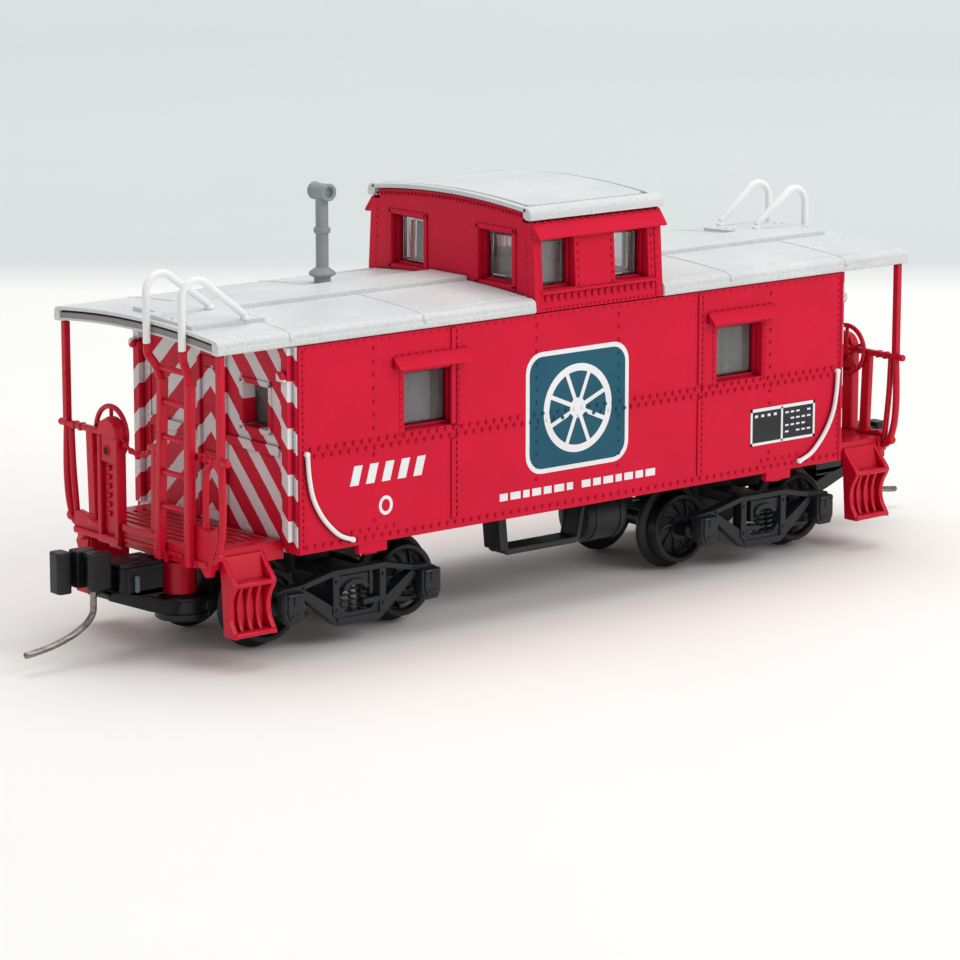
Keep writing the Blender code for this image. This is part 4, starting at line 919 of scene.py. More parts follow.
def cupola_end():
    """End wall of the cupola facing end A, arched right up to the thin roof."""
    shape = Shape()
    face = CUPOLA[0]
    holes = [(a, b, 24.25, 28.0) for a, b in CUPOLA_END_WINDOWS]

    def crown(u):
        return cupola_roof_height(u) - 0.4

    def place(u, v, depth):
        limit = cupola_face(min(v, CUPOLA_TOP)) - 1.0
        u = max(-limit, min(limit, u))
        if v > 28.0:
            v = 28.0 + (v - 28.0) / (CUPOLA_TOP - 28.0) * (crown(u) - 28.0)
        return (face + depth, u, v)

    pierced(shape, spread(-8.7, 8.7, 1.0), (23.6, 28.0, CUPOLA_TOP), holes, place, 1.1, 0.0, 0.06)
    block(shape, (face + 0.02, face + 1.05), (-8.6, 8.6), (22.9, 23.9), 0.02)
    for low, high in CUPOLA_END_WINDOWS:
        across = (low - 0.42, high + 0.42)
        for ys, zs in (((low - 0.42, low - 0.02), (23.95, 28.35)), ((high + 0.02, high + 0.42), (23.95, 28.35)),
                       (across, (28.02, 28.4)), (across, (23.85, 24.22))):
            block(shape, (face - 0.1, face + 0.1), ys, zs, 0.04, segments=1)
        for ys, zs in (((low - 0.1, low + 0.14), (24.2, 28.05)), ((high - 0.14, high + 0.1), (24.2, 28.05)),
                       ((low, high), (27.86, 28.1)), ((low, high), (24.15, 24.4))):
            block(shape, (face + 0.4, face + 1.0), ys, zs, 0.05)
        spots = [(y, z) for z in spread(24.3, 28.1, 0.5) for y in (low - 0.24, high + 0.24)]
        spots += [(y, z) for y in spread(low - 0.3, high + 0.3, 0.5) for z in (24.02, 28.22)]
        for y, z in spots:
            rivet(shape, face - 0.08, y, z, "-x", 0.08, 0.05)
    for y in spread(-8.5, 8.5, 0.4):
        rivet(shape, face, y, crown(y) - 0.35, "-x", 0.11, 0.12)
    for side in (-1, 1):
        for z in spread(23.5, 28.6, 0.5):
            rivet(shape, face, side * (cupola_face(z) - 0.75), z, "-x", 0.08, 0.05)
    return shape


near = cupola_side()
shell_piece(near, "cupola_side_near", "cupola_shell")
shell_piece(near.mirrored("y"), "cupola_side_far", "cupola_shell")
end_face = cupola_end()
shell_piece(end_face, "cupola_end_a", "cupola_shell")
shift = Matrix.Translation((CUPOLA[0] + CUPOLA[1], 0, 0))
shell_piece(Shape().join(end_face.turned(), shift), "cupola_end_b", "cupola_shell")


# ---------------------------------------------------------------- windows


def window_block(name, x, y, z, node, material, step=None):
    """Clear pane with a bevelled plug that stands into the opening; step is (axis, direction, openings)."""
    shape = Shape()
    block(shape, x, y, z, 0.1, segments=3)
    if step:
        axis, reach, openings = step
        for (u0, u1), zs in openings:
            if axis == "y":
                face = y[1] if abs(y[1]) > abs(y[0]) else y[0]
                block(shape, (u0, u1), (face - reach * 0.2, face + reach), zs, 0.22, segments=4)
            else:
                face = x[1] if reach > 0 else x[0]
                block(shape, (face - reach, face + reach), (u0, u1), zs, 0.22, segments=4)
    piece(shape, name, [material], [node])


for index, centre in enumerate(WINDOWS, start=1):
    half = WINDOW_WIDTH / 2 + 0.3
    plug = [((centre - half + 0.5, centre + half - 0.5), (15.55, 19.3))]
    for side, place in ((-1, "near"), (1, "far")):
        window_block(f"side_window_{place}_{index}", (centre - half, centre + half), (side * 7.98, side * 8.3),
                     (15.0, 19.8), f"side_glazing_{place}_{index}", window_smoky, ("y", side * 0.3, plug))
for end, letter in ((-1, "a"), (1, "b")):
    window_block(f"end_window_{letter}", (end * 24.93, end * 25.25),
                 (end * 6.7, end * 3.1), (15.75, 19.4), f"end_glazing_{letter}", window_smoky,
                 ("x", end * 0.3, [((end * 6.2, end * 3.6), (16.2, 18.9))]))
side_plugs = [((a + 0.2, b - 0.2), (24.25, 27.5)) for a, b in CUPOLA_WINDOWS if b < 6.0]
side_plugs.append(((3.2, 6.0), (24.25, 27.5)))
for side, place in ((-1, "near"), (1, "far")):
    window_block(f"cupola_window_{place}", (-3.7, 6.15), (side * 7.83, side * 8.14), (23.95, 28.05),
                 f"cupola_glazing_{place}", window_clear, ("y", side * 0.3, side_plugs))
for start, letter, out in ((CUPOLA[0] + 1.14, "a", -1), (CUPOLA[1] - 1.42, "b", 1)):
    places = CUPOLA_END_WINDOWS if out < 0 else ((3.4, 7.2), (-6.8, -3.0))
    window_block(f"cupola_end_window_{letter}", (start, start + 0.28), (-7.75, 7.75), (24.15, 28.1),
                 f"cupola_end_glazing_{letter}", window_clear,
                 ("x", out * 0.3, [((low + 0.2, high - 0.2), (24.45, 27.8)) for low, high in places]))


# ---------------------------------------------------------------- smokejack


def smokejack():
    """Stove pipe with flashing, collars and an open cross cap with rolled rims."""
    shape = Shape()
    foot = 24.0
    r = 0.47
    pipe = [(0, 0), (0.62, 0), (0.62, 0.34), (0.7, 0.4), (1.0, 0.56), (1.02, 0.66), (0.9, 0.8), (r + 0.08, 1.05),
            (r, 1.12), (r, 3.58), (r + 0.14, 3.66), (r + 0.16, 3.98), (r, 4.08), (r, 6.6), (0, 6.6)]
    lathe(shape, [(radius, foot + h) for radius, h in pipe], (*STACK, 0), "z", 28)
    cap = [(0, -0.55), (0.36, -0.58), (0.4, -0.9), (0.5, -0.95), (0.64, -0.92), (0.66, -0.78), (0.6, -0.66)]
    lathe(shape, mirror(cap), (*STACK, 30.68), "y", 28)
    for angle in range(0, 360, 60):
        a = radians(angle)
        rivet(shape, STACK[0] + 0.93 * cos(a), STACK[1] + 0.93 * sin(a), foot + 0.76, "+z", 0.06, 0.04)
    return shape


piece(smokejack(), "smokejack_pipe", [stack_grey], ["smokejack"])


# ---------------------------------------------------------------- end platforms


def cheek(shape, start, end):
    """Wavy-edged step cheek, near side."""
    edge = smooth_path([(-8.22, 0, 7.98), (-8.9, 0, 7.2), (-9.55, 0, 6.5), (-9.64, 0, 6.1), (-9.15, 0, 5.2),
                        (-8.97, 0, 4.4), (-9.13, 0, 3.6), (-9.57, 0, 2.9), (-9.76, 0, 2.48)], 4)
    outline = [(-8.4, 2.48), (-8.15, 6.0), (-7.95, 7.98)] + [(p.x, p.z) for p in edge]
    prism(shape, outline, "x", start, end, 0.1)


def steps():
    """Steps at the near side of end A: wavy cheeks, two treads and arched ribs."""
    shape = Shape()
    cheek(shape, -31.97, -31.55)
    cheek(shape, -28.7, -28.28)
    inside = (-31.8, -28.45)
    riser = [(-7.95, 5.95), (-7.95, 8.1), (-8.22, 8.05), (-8.78, 6.5), (-8.82, 5.95)]
    prism(shape, riser, "x", *inside, 0.04)
    prism(shape, [(-8.42, 2.5), (-8.2, 6.1), (-8.5, 6.1), (-8.72, 2.5)], "x", *inside, 0.03)
    block(shape, inside, (-9.56, -8.2), (6.0, 6.36), 0.12)
    tube(shape, [(x, -9.5, 6.2) for x in inside], 0.21, 10)
    block(shape, inside, (-9.72, -8.45), (2.5, 2.88), 0.12)
    tube(shape, [(x, -9.62, 2.7) for x in inside], 0.2, 10)
    front = smooth_path([(-9.25, 0, 6.0), (-8.93, 0, 5.2), (-8.8, 0, 4.4), (-8.93, 0, 3.6), (-9.25, 0, 2.85)], 4)
    for x in (-30.95, -30.15, -29.35):
        rib = [(-8.4, 2.85), (-8.4, 6.0)] + [(p.x, p.z) for p in front]
        prism(shape, rib, "x", x - 0.15, x + 0.15, 0.06)
    return shape


def end_platform():
    """Ribbed deck, end sill with gussets, steps at both sides and the boss over the coupler."""
    shape = Shape()
    block(shape, (-32.9, -26.44), (-8.05, 8.05), (7.2, 8.42), 0.07)
    for side in (-1, 1):
        block(shape, (-32.8, -26.5), (side * 6.6, side * 8.02), (7.6, 8.52), 0.07)
    for x in spread(-31.7, -26.9, 0.78):
        block(shape, (x - 0.2, x + 0.2), (-6.7, 6.7), (8.3, 8.52), 0.06, segments=1)
    block(shape, (-32.98, -32.1), (-8.2, 8.2), (7.5, 8.5), 0.1)
    block(shape, (-33.1, -32.6), (-5.2, 1.9), (7.62, 7.95), 0.1)
    for side in (-1, 1):
        for fin, start, end, soft in (([(6.6, 7.65), (7.6, 6.7), (7.95, 6.7), (8.18, 7.65)], -32.95, -32.3, 0.1),
                                      ([(2.3, 7.6), (2.75, 6.9), (3.2, 7.6)], -32.9, -32.5, 0.08)):
            prism(shape, [(side * y, z) for y, z in fin], "x", start, end, soft)
    near_steps = steps()
    shape.join(near_steps)
    shape.join(near_steps.mirrored("y"))
    block(shape, (-27.9, -23.95), (-2.6, 2.6), (6.9, 7.55), 0.06)
    block(shape, (-27.9, -26.7), (-2.6, 2.6), (6.9, 8.0), 0.06)
    block(shape, (-31.4, -28.1), (-2.3, 2.3), (6.95, 7.4), 0.1)
    boss = [(0, 3.88), (1.32, 3.88), (1.42, 3.98), (1.42, 5.95), (1.5, 6.08), (1.5, 6.25), (1.4, 6.32),
            (1.1, 6.34), (1.1, 7.3), (0, 7.3)]
    lathe(shape, boss, (-29.9, 0, 0), "z", 36)
    return shape


both_ends(end_platform(), "end_platform_moulding", [red_plastic], "end_platform_@")


# ---------------------------------------------------------------- end railings


def chain(shape, points, pitch=0.5, radius=0.15):
    """A moulded chain: alternating fat links along a path."""
    path = smooth_path(points, 5)
    tube(shape, path, radius * 0.75, 8)
    run = 0.0
    turn = 0
    for a, b in zip(path, path[1:]):
        run += (b - a).length
        if run >= pitch:
            run = 0.0
            turn += 1
            d = (b - a).normalized()
            wide = radius * (1.75 if turn % 2 else 1.35)
            tube(shape, [b - d * pitch * 0.26, b, b + d * pitch * 0.26], [radius * 0.9, wide, radius * 0.9], 8)


def post(shape, y, top, lean=0.0, half=0.26):
    """A square railing post with a splayed foot."""
    block(shape, (-32.95, -32.45), (y - half, y + half), (8.5, top), 0.08,
          lean=lambda px, py, pz: (px, py + lean * (top - pz) / (top - 8.5), pz))
    block(shape, (-33.03, -32.35), (y + lean - half - 0.16, y + lean + half + 0.16), (8.46, 8.95), 0.12)


def brake_stand(shape):
    """Channel-shaped stand with rounded head, round hole, recess and chain."""
    centre, half, top = 3.45, 1.22, 16.4
    back = [(centre + half * cos(pi * k / 12), top - half + half * sin(pi * k / 12)) for k in range(13)]
    prism(shape, [(centre + half, 7.6)] + back + [(centre - half, 7.6)], "x", -33.04, -32.55, 0.06)
    for side in (-1, 1):
        block(shape, (-33.38, -32.6), (centre + side * 0.82, centre + side * 1.26), (7.4, 15.0), 0.12)
    plate = [(centre + 1.17 * cos(pi * k / 10), 15.12 + 1.2 * sin(pi * k / 10)) for k in range(11)]
    prism(shape, [(centre + 1.17, 13.1)] + plate + [(centre - 1.17, 13.1)], "x", -33.28, -32.8, 0.1)
    prism(shape, [(y, z - 0.03) for y, z in plate], "x", -33.42, -33.1, 0.1)
    hole = (-33.31, centre + 0.15, 13.95)
    # dark disc that paints the shade inside the round hole
    lathe(shape, mirror([(0, -0.02), (0.27, -0.02)]), hole, "x", 18, 1)
    rim = [(-33.29, hole[1] + 0.33 * cos(pi * k / 9), 13.95 + 0.36 * sin(pi * k / 9)) for k in range(19)]
    tube(shape, rim, 0.07, 6, cap=False)
    for z in spread(12.7, 9.4, 0.66):
        rivet(shape, -33.0, centre + 0.12, z, "-x", 0.2, 0.2)
    block(shape, (-33.44, -32.5), (centre - 1.3, centre + 1.3), (7.25, 7.85), 0.12)
    block(shape, (-33.1, -32.6), (centre - 1.2, centre + 0.3), (6.98, 7.3), 0.07)


def end_railing():
    """Posts, rails, toe plates, brake stand, chain and ladder at end A."""
    shape = Shape()
    for side in (-1, 1):
        # corner post: straight above the rail, bowed out below it and tucked in under the deck edge
        block(shape, (-32.95, -32.45), (side * 9.09, side * 9.61), (14.9, 22.46), 0.08)
        bow = [(9.35, 15.2), (9.46, 13.4), (9.5, 11.6), (9.38, 10.0), (9.1, 8.9), (8.75, 8.15), (8.1, 7.8)]
        tube(shape, smooth_path([(POST_X, side * y, z) for y, z in bow], 4), 0.28, 10)
        disc(shape, (POST_X, side * 9.0, 8.35), "x", 0.36, 0.62, 0.16, 14)
        if side > 0:
            inner = [(POST_X, 8.85, 15.0), (POST_X, 8.7, 12.0), (POST_X, 8.3, 8.4)]
            tube(shape, smooth_path(inner, 4), 0.24, 10)
    post(shape, 6.32, 15.1, -0.25, 0.42)
    post(shape, -1.6, 15.1, 0.15)
    for span in ((4.6, 10.1), (-10.1, -6.3)):
        block(shape, (-32.94, -32.46), span, (14.81, 15.29), 0.14)
    for side in (-1, 1):
        disc(shape, (POST_X, side * 10.05, 15.05), "y", 0.27, 0.4, 0.12, 14)
    for y in (8.3, 7.5, -7.1, -7.8, -8.5):
        block(shape, (-33.02, -32.4), (y - 0.16, y + 0.16), (14.76, 15.34), 0.1)
    prism(shape, [(-8.2, 15.0), (-9.2, 15.0), (-9.2, 14.2)], "x", -32.9, -32.5, 0.06)
    # far toe plate with its stepped ledge
    toe = [(8.15, 7.6), (8.15, 8.75), (7.6, 9.0), (6.9, 8.85), (5.0, 8.6), (5.0, 7.5)]
    prism(shape, toe, "x", -33.12, -32.6, 0.1)
    block(shape, (-33.34, -32.6), (4.6, 8.0), (7.3, 7.8), 0.14)
    block(shape, (-33.28, -32.7), (4.7, 6.2), (8.15, 8.6), 0.14)
    # middle toe plate, between the stand and the ladder
    block(shape, (-33.18, -32.6), (-2.4, 2.1), (8.35, 8.95), 0.14)
    # near toe plate: bulges between the ladder and the corner post
    toe = [(-6.2, 7.3), (-6.2, 10.3), (-6.9, 10.4), (-7.9, 10.1), (-8.6, 10.1), (-9.3, 10.7), (-9.42, 10.0),
           (-9.1, 8.9), (-8.5, 7.9), (-8.1, 7.3)]
    prism(shape, toe, "x", -33.06, -32.52, 0.12)
    block(shape, (-33.22, -32.7), (-8.1, -6.2), (7.35, 7.9), 0.14)
    # near bracket post with a curved head
    bracket = [(-7.5, 8.6), (-7.5, 11.0), (-7.55, 13.6), (-8.0, 14.6), (-8.9, 15.0)]
    tube(shape, smooth_path([(POST_X, y, z) for y, z in bracket], 5), 0.26, 10)
    brake_stand(shape)
    chain(shape, [(-33.0, 2.4, 15.2), (-32.85, 2.0, 14.7), (-32.75, 1.45, 14.27), (POST_X, 0.68, 14.03),
                  (POST_X, -0.3, 14.18), (POST_X, -1.2, 14.67), (POST_X, -1.7, 15.0)], 0.7, 0.19)
    chain(shape, [(POST_X, -1.6, 14.98), (-32.8, -2.7, 14.95)])
    # ladder: stiles draw together toward the top, then reach out to the roof wires
    for foot, head, meet in ((-2.88, -3.5, -2.12), (-6.42, -6.72, -6.3)):
        block(shape, (-33.69, -33.0), (foot - 0.3, foot + 0.3), (7.3, 20.2), 0.12,
              lean=lambda x, y, z: (x, y + (head - foot) * (z - 7.3) / 12.9, z))
        tube(shape, smooth_path([(-33.38, head, 19.9), (-33.42, head + (meet - head) * 0.4, 20.9),
                                 (-33.55, meet, 21.7), (-33.6, meet, 22.4)], 4), 0.31, 10)
        block(shape, (-33.5, -32.75), (foot - 0.22, foot + 0.22), (8.6, 8.98), 0.08)
        prism(shape, [(foot - 0.75, 7.32), (foot, 8.45), (foot + 0.75, 7.32)], "x", -33.3, -32.8, 0.08)
    for z in (11.2, 13.6, 16.1, 18.6, 20.9):
        tube(shape, [(-33.38, -6.5, z), (-33.38, -3.1, z)], 0.21, 10)
    block(shape, (-33.4, -32.72), (-2.95, -1.5), (14.86, 15.2), 0.08)
    return shape


both_ends(end_railing(), "end_railing_moulding", [red_plastic, painted_gap_shade], "end_railing_@")


def brake_wheel():
    """Spoked hand wheel with a round rim."""
    shape = Shape()
    x, y, z = -32.38, 4.25, 15.05
    ring = [(x, y + 1.9 * cos(2 * pi * k / 40), z + 1.9 * sin(2 * pi * k / 40)) for k in range(41)]
    tube(shape, ring, 0.19, 10, cap=False)
    for k in range(5):
        a = 2 * pi * k / 5 + pi / 2
        tube(shape, [(x, y, z), (x, y + 0.9 * cos(a), z + 0.9 * sin(a)), (x, y + 1.8 * cos(a), z + 1.8 * sin(a))],
             [0.2, 0.14, 0.15], 8)
    disc(shape, (x, y, z), "x", 0.45, 0.5, 0.1, 18)
    return shape


both_ends(brake_wheel(), "brake_hand_wheel", [red_plastic], "brake_wheel_@")


# ---------------------------------------------------------------- white wires


def roof_handrail(y):
    """Hooked wire from the ladder up over the roof edge."""
    shape = Shape()
    bend = 1.25
    start = -33.65
    points = [(start, y, z) for z in (22.5, 24.2, 26.0)]
    for step in range(1, 13):
        a = (pi - radians(40)) * step / 12
        points.append((start + bend - bend * cos(a), y, 26.0 + bend * sin(a)))
    foot = roof_height(y) + 0.4
    points.append((-28.4, y, foot + 0.27))
    tube(shape, points, 0.27, 14)
    disc(shape, (-28.3, y, foot + 0.02), "z", 0.33, 0.3, 0.08, 14)
    return shape


def side_grab():
    """Curved grab iron by the platform steps, near side of end A."""
    shape = Shape()
    points = [(-25.75, 14.7), (-25.62, 13.2), (-25.3, 11.7), (-24.6, 10.35), (-23.75, 9.35), (-22.9, 8.65),
              (-21.9, 8.25)]
    path = smooth_path([(x, -9.97, z) for x, z in points], 5)
    tube(shape, path, 0.17, 10)
    for x, z in ((-25.76, 14.8), (-21.8, 8.22)):
        disc(shape, (x, -9.9, z), "y", 0.2, 0.36, 0.07, 12)
    return shape


for number, y in ((1, -2.1), (2, -6.3)):
    made = roof_handrail(y)
    for letter, shape in (("a", made), ("b", made.turned())):
        piece(shape, f"roof_handrail_wire_{letter}{number}", [white_wire],
              [f"roof_handrail_{letter}{number}"])
grab = side_grab()
for letter, place, made in (("a", "near", grab), ("a", "far", grab.mirrored("y")),
                            ("b", "near", grab.mirrored("x")), ("b", "far", grab.mirrored("y").mirrored("x"))):
    piece(made, f"side_grab_wire_{letter}_{place}", [white_wire], [f"side_grab_{letter}_{place}"])


# ---------------------------------------------------------------- markings


def round_box(x0, x1, z0, z1, r):
    """Outline of a box with rounded corners."""
    points = []
    for cx, cz, start in ((x1 - r, z1 - r, 0), (x0 + r, z1 - r, 90), (x0 + r, z0 + r, 180), (x1 - r, z0 + r, 270)):
        for k in range(7):
            a = radians(start + 90 * k / 6)
            points.append((cx + r * cos(a), cz + r * sin(a)))
    return points


def markings():
    """Plain shapes in place of every printed mark: a spoked-ring panel, bars and a ruled panel."""
    shape = Shape()

    def plate(outline, lift=0.02, slot=0):
        """A thin printed area; the lifts differ so that no two areas share a plane."""
        prism(shape, outline, "y", -HALF_WIDTH + 0.05, -HALF_WIDTH - lift, 0.0, slot)

    def box(x0, x1, z0, z1, lift=0.02, slot=0):
        plate([(x0, z0), (x1, z0), (x1, z1), (x0, z1)], lift, slot)

    def ring(cx, cz, count, outer, inner, lift):
        """A ring of four-sided plates; outer and inner are (half width, half height)."""
        for k in range(count):
            a, b = 2 * pi * k / count, 2 * pi * (k + 1) / count
            corners = [(outer, a), (outer, b)] + ([(inner, b), (inner, a)] if inner[0] else [(inner, b)])
            plate([(cx + size[0] * cos(turn), cz + size[1] * sin(turn)) for size, turn in corners], lift)

    x0, x1, z0, z1 = EMBLEM
    plate(round_box(x0, x1, z0, z1, 1.5))
    plate(round_box(x0 + 0.35, x1 - 0.35, z0 + 0.35, z1 - 0.35, 1.2), 0.03, 1)
    cx, cz = (x0 + x1) / 2, (z0 + z1) / 2
    for outer, inner in ((3.3, 2.75), (0.75, 0.0)):
        ring(cx, cz, 48, (outer, outer), (inner, inner), 0.04)
    for k in range(8):
        a = 2 * pi * k / 8 + pi / 8
        dx, dz = cos(a), sin(a)
        spoke = ((0.6, 0.16), (0.6, -0.16), (2.9, -0.16), (2.9, 0.16))
        plate([(cx + reach * dx - w * dz, cz + reach * dz + w * dx) for reach, w in spoke], 0.05)
    # slanted bars and ring by end A
    for k in range(5):
        x = -21.9 + 1.42 * k
        plate([(x, 12.0), (x + 0.75, 12.0), (x + 1.15, 13.4), (x + 0.4, 13.4)])
    ring(-18.7, 10.25, 24, (0.62, 0.7), (0.38, 0.45), 0.02)
    # long line of dashes, broken at the middle
    x = -8.2
    for k in range(14):
        width = (0.75, 0.95, 0.6, 0.85)[k % 4]
        if abs(x + width / 2 + 0.3) < 0.45:
            x += 0.6
        box(x, x + width, 9.05, 9.6)
        x += width + 0.26
    # ruled panel by end B
    x0, x1, z0, z1 = PANEL
    box(x0, x1, z0, z1, 0.02, 2)
    for rule in ((x0, x1, 12.55, z1), (x0, x1, z0, 10.15), (x0, 16.9, z0, z1), (23.3, x1, z0, z1),
                 (19.9, 20.1, 10.0, 12.7)):
        box(*rule, 0.03)
    for row in range(4):
        for k in range(5):
            if (row * 3 + k) % 7 != 3:
                x, z = 20.35 + 0.58 * k, 12.1 - 0.5 * row
                box(x, x + 0.36, z, z + 0.14, 0.03)
    for k in range(4):
        x = 17.15 + 0.66 * k
        box(x, x + 0.3, 12.1, 12.3, 0.03)
    for x, z, radius, height in side_rivets():
        slot = mark_slot(x, z)
        if slot in (0, 1):
            rivet(shape, x, -HALF_WIDTH - 0.02, z, "-y", radius, height, slot)
    return shape


piece(markings(), "side_markings_near", [decal_white, decal_teal, decal_black])


# ---------------------------------------------------------------- underframe


def underframe():
    """Floor, centre sill, bolster pads, strap cradle, reservoir and cylinder."""
    shape = Shape()
    block(shape, (-25.2, 25.2), (-8.25, 8.25), (7.6, 8.38), 0.08)
    block(shape, (-23.9, 23.9), (-1.5, 1.5), (6.9, 8.0), 0.12)
    for y in (-4.2, 4.2, -7.4, 7.4):
        block(shape, (-15.5, 15.5), (y - 0.25, y + 0.25), (7.15, 7.8), 0.06)
    for x in (-10.5, -7.6, 9.8, 12.4):
        block(shape, (x - 0.25, x + 0.25), (-7.8, 7.8), (7.2, 7.8), 0.06)
    for middle in (-TRUCK, TRUCK):
        disc(shape, (middle, 0, 7.12), "z", 2.3, 1.7, 0.1, 40)
        block(shape, (middle - 0.9, middle + 0.9), (-8.1, 8.1), (7.2, 8.0), 0.1)
    # strap cradle, hung between two slanting legs
    for y in (-6.45, -4.85):
        strap = [(-5.3, 7.7), (-4.95, 4.35), (-4.8, 4.2), (1.9, 4.2), (2.1, 4.35), (2.75, 7.7)]
        tube(shape, [(x, y, z) for x, z in strap], 0.2, 8)
    block(shape, (-5.0, 2.1), (-6.6, -4.65), (4.1, 4.5), 0.1)
    for leg, tilt in (((-5.45, -4.65), -0.1), ((1.95, 2.35), 0.2)):
        block(shape, leg, (-6.6, -4.65), (4.4, 7.8), 0.1, lean=lambda x, y, z: (x + (z - 4.4) * tilt, y, z))
    block(shape, (-5.0, -4.4), (-4.7, -4.4), (5.6, 7.8), 0.08)
    # reservoir and cylinder
    tank = [(0, -2.12), (1.2, -2.1), (1.75, -1.95), (1.98, -1.6), (2.0, -1.3)]
    lathe(shape, mirror(tank), (6.2, -3.6, 5.2), "x", 36)
    for x in (5.0, 7.4):
        lathe(shape, mirror([(0, -0.16), (2.07, -0.16)]), (x, -3.6, 5.2), "x", 36)
    block(shape, (4.6, 7.8), (-4.1, -3.1), (6.0, 8.0), 0.08)
    cylinder = [(0, -2.82), (0.7, -2.8), (1.0, -2.6), (1.0, 2.4), (0.85, 2.7), (0, 2.8)]
    lathe(shape, cylinder, (1.6, 0.8, 6.0), "x", 24)
    block(shape, (-5.5, -2.6), (3.2, 6.6), (5.0, 8.0), 0.12)
    tube(shape, [(8.6, -3.6, 5.4), (10.2, -3.2, 6.2), (12.0, -2.0, 6.7)], 0.15, 8)
    return shape


piece(underframe(), "underframe_moulding", [black_plastic], ["underframe"])


# ---------------------------------------------------------------- trucks


def sideframe():
    """Cast side frame of the near side: chords, columns, journal boxes, springs and plain lids."""
    shape = Shape()
    c = -TRUCK
    inner, outer = 7.15, 8.1

    def beam(outline, y0=inner, y1=outer, soft=0.09):
        prism(shape, [(c + x, z) for x, z in outline], "y", -y0, -y1, soft)

    def box(x0, x1, z0, z1, *rest):
        beam([(x0, z0), (x1, z0), (x1, z1), (x0, z1)], *rest)

    top = [(-7.0, 4.45), (-7.0, 4.85), (-6.6, 4.95), (-5.2, 5.02), (-2.3, 5.66), (2.3, 5.66), (5.2, 5.0),
           (6.6, 4.88), (7.0, 4.75), (7.0, 4.4), (5.1, 4.62), (2.3, 5.22), (-2.3, 5.22), (-5.1, 4.62)]
    beam(top)
    beam([(-1.95, 1.56), (1.95, 1.56), (2.0, 2.12), (-2.0, 2.12)])
    box(-1.9, 1.9, 2.0, 2.45, inner, outer - 0.12)
    for hand in (-1, 1):
        beam([(hand * 1.85, 1.6), (hand * 2.35, 3.1), (hand * 4.85, 4.7), (hand * 5.35, 4.5), (hand * 5.1, 4.1),
              (hand * 2.05, 1.6)], inner + 0.03, outer - 0.06)
        beam([(hand * 1.8, 2.0), (hand * 2.4, 2.4), (hand * 2.4, 5.3), (hand * 1.8, 5.3)], inner, outer + 0.05)
        beam([(hand * 1.05, 2.4), (hand * 1.9, 2.4), (hand * 1.9, 3.3)], inner + 0.1, outer - 0.1, 0.05)
        # journal box: narrow neck behind, wider front with a hinged lid
        place = hand * AXLE
        beam(flanks(place, [(0.55, 4.7), (0.55, 2.6)]), inner + 0.03, 8.2)
        beam(flanks(place, [(0.86, 4.72), (0.88, 3.1), (0.6, 2.45)]), 7.85, 8.66, 0.12)
        beam(flanks(place, [(0.66, 4.45), (0.7, 3.4), (0.46, 2.72)]), 8.4, 8.82, 0.14)
        tube(shape, [(c + place - 0.62, -8.7, 4.56), (c + place + 0.62, -8.7, 4.56)], 0.16, 8)
        hasp = [(place - 0.26, 3.85), (place + 0.26, 3.85), (place + 0.14, 4.6), (place - 0.14, 4.6)]
        beam(hasp, 8.6, 8.9, 0.06)
        box(place - 0.34, place + 0.34, 3.0, 3.2, 8.6, 8.9, 0.04)
        beam([(place - hand * 0.4, 2.5), (place - hand * 0.9, 2.2), (place - hand * 2.2, 2.35),
              (place - hand * 2.2, 2.75)], inner - 0.35, inner + 0.15)
        for z in (4.85, 2.75):
            rivet(shape, c + hand * 2.1, -outer - 0.05, z, "-y", 0.13, 0.1)
        rivet(shape, c + hand * 5.0, -outer, 4.82, "-y", 0.12, 0.1)
    # bolster end in the middle window: plate, hood, guide rib, springs and bracket
    box(-1.82, 1.25, 4.3, 5.12, inner, outer - 0.22, 0.06)
    hood_out = [(-0.25 + 1.15 * cos(pi * k / 10), 4.1 + 0.72 * sin(pi * k / 10)) for k in range(11)]
    hood_in = [(-0.25 + 0.75 * cos(pi * k / 10), 4.0 + 0.42 * sin(pi * k / 10)) for k in range(11)]
    beam(hood_out + hood_in[::-1], inner, outer + 0.02, 0.06)
    box(0.98, 1.28, 3.5, 5.2, inner, outer - 0.08, 0.06)
    beam([(0.35, 2.8), (1.85, 2.8), (1.85, 3.3), (0.35, 3.2)], inner, outer + 0.02, 0.08)
    for x in (-1.05, -0.15, 0.7):
        coil = [(c + x + 0.36 * cos(k * pi / 4), -7.5 - 0.3 * sin(k * pi / 4), 2.4 + 0.05 * k) for k in range(41)]
        tube(shape, coil, 0.1, 6)
    return shape


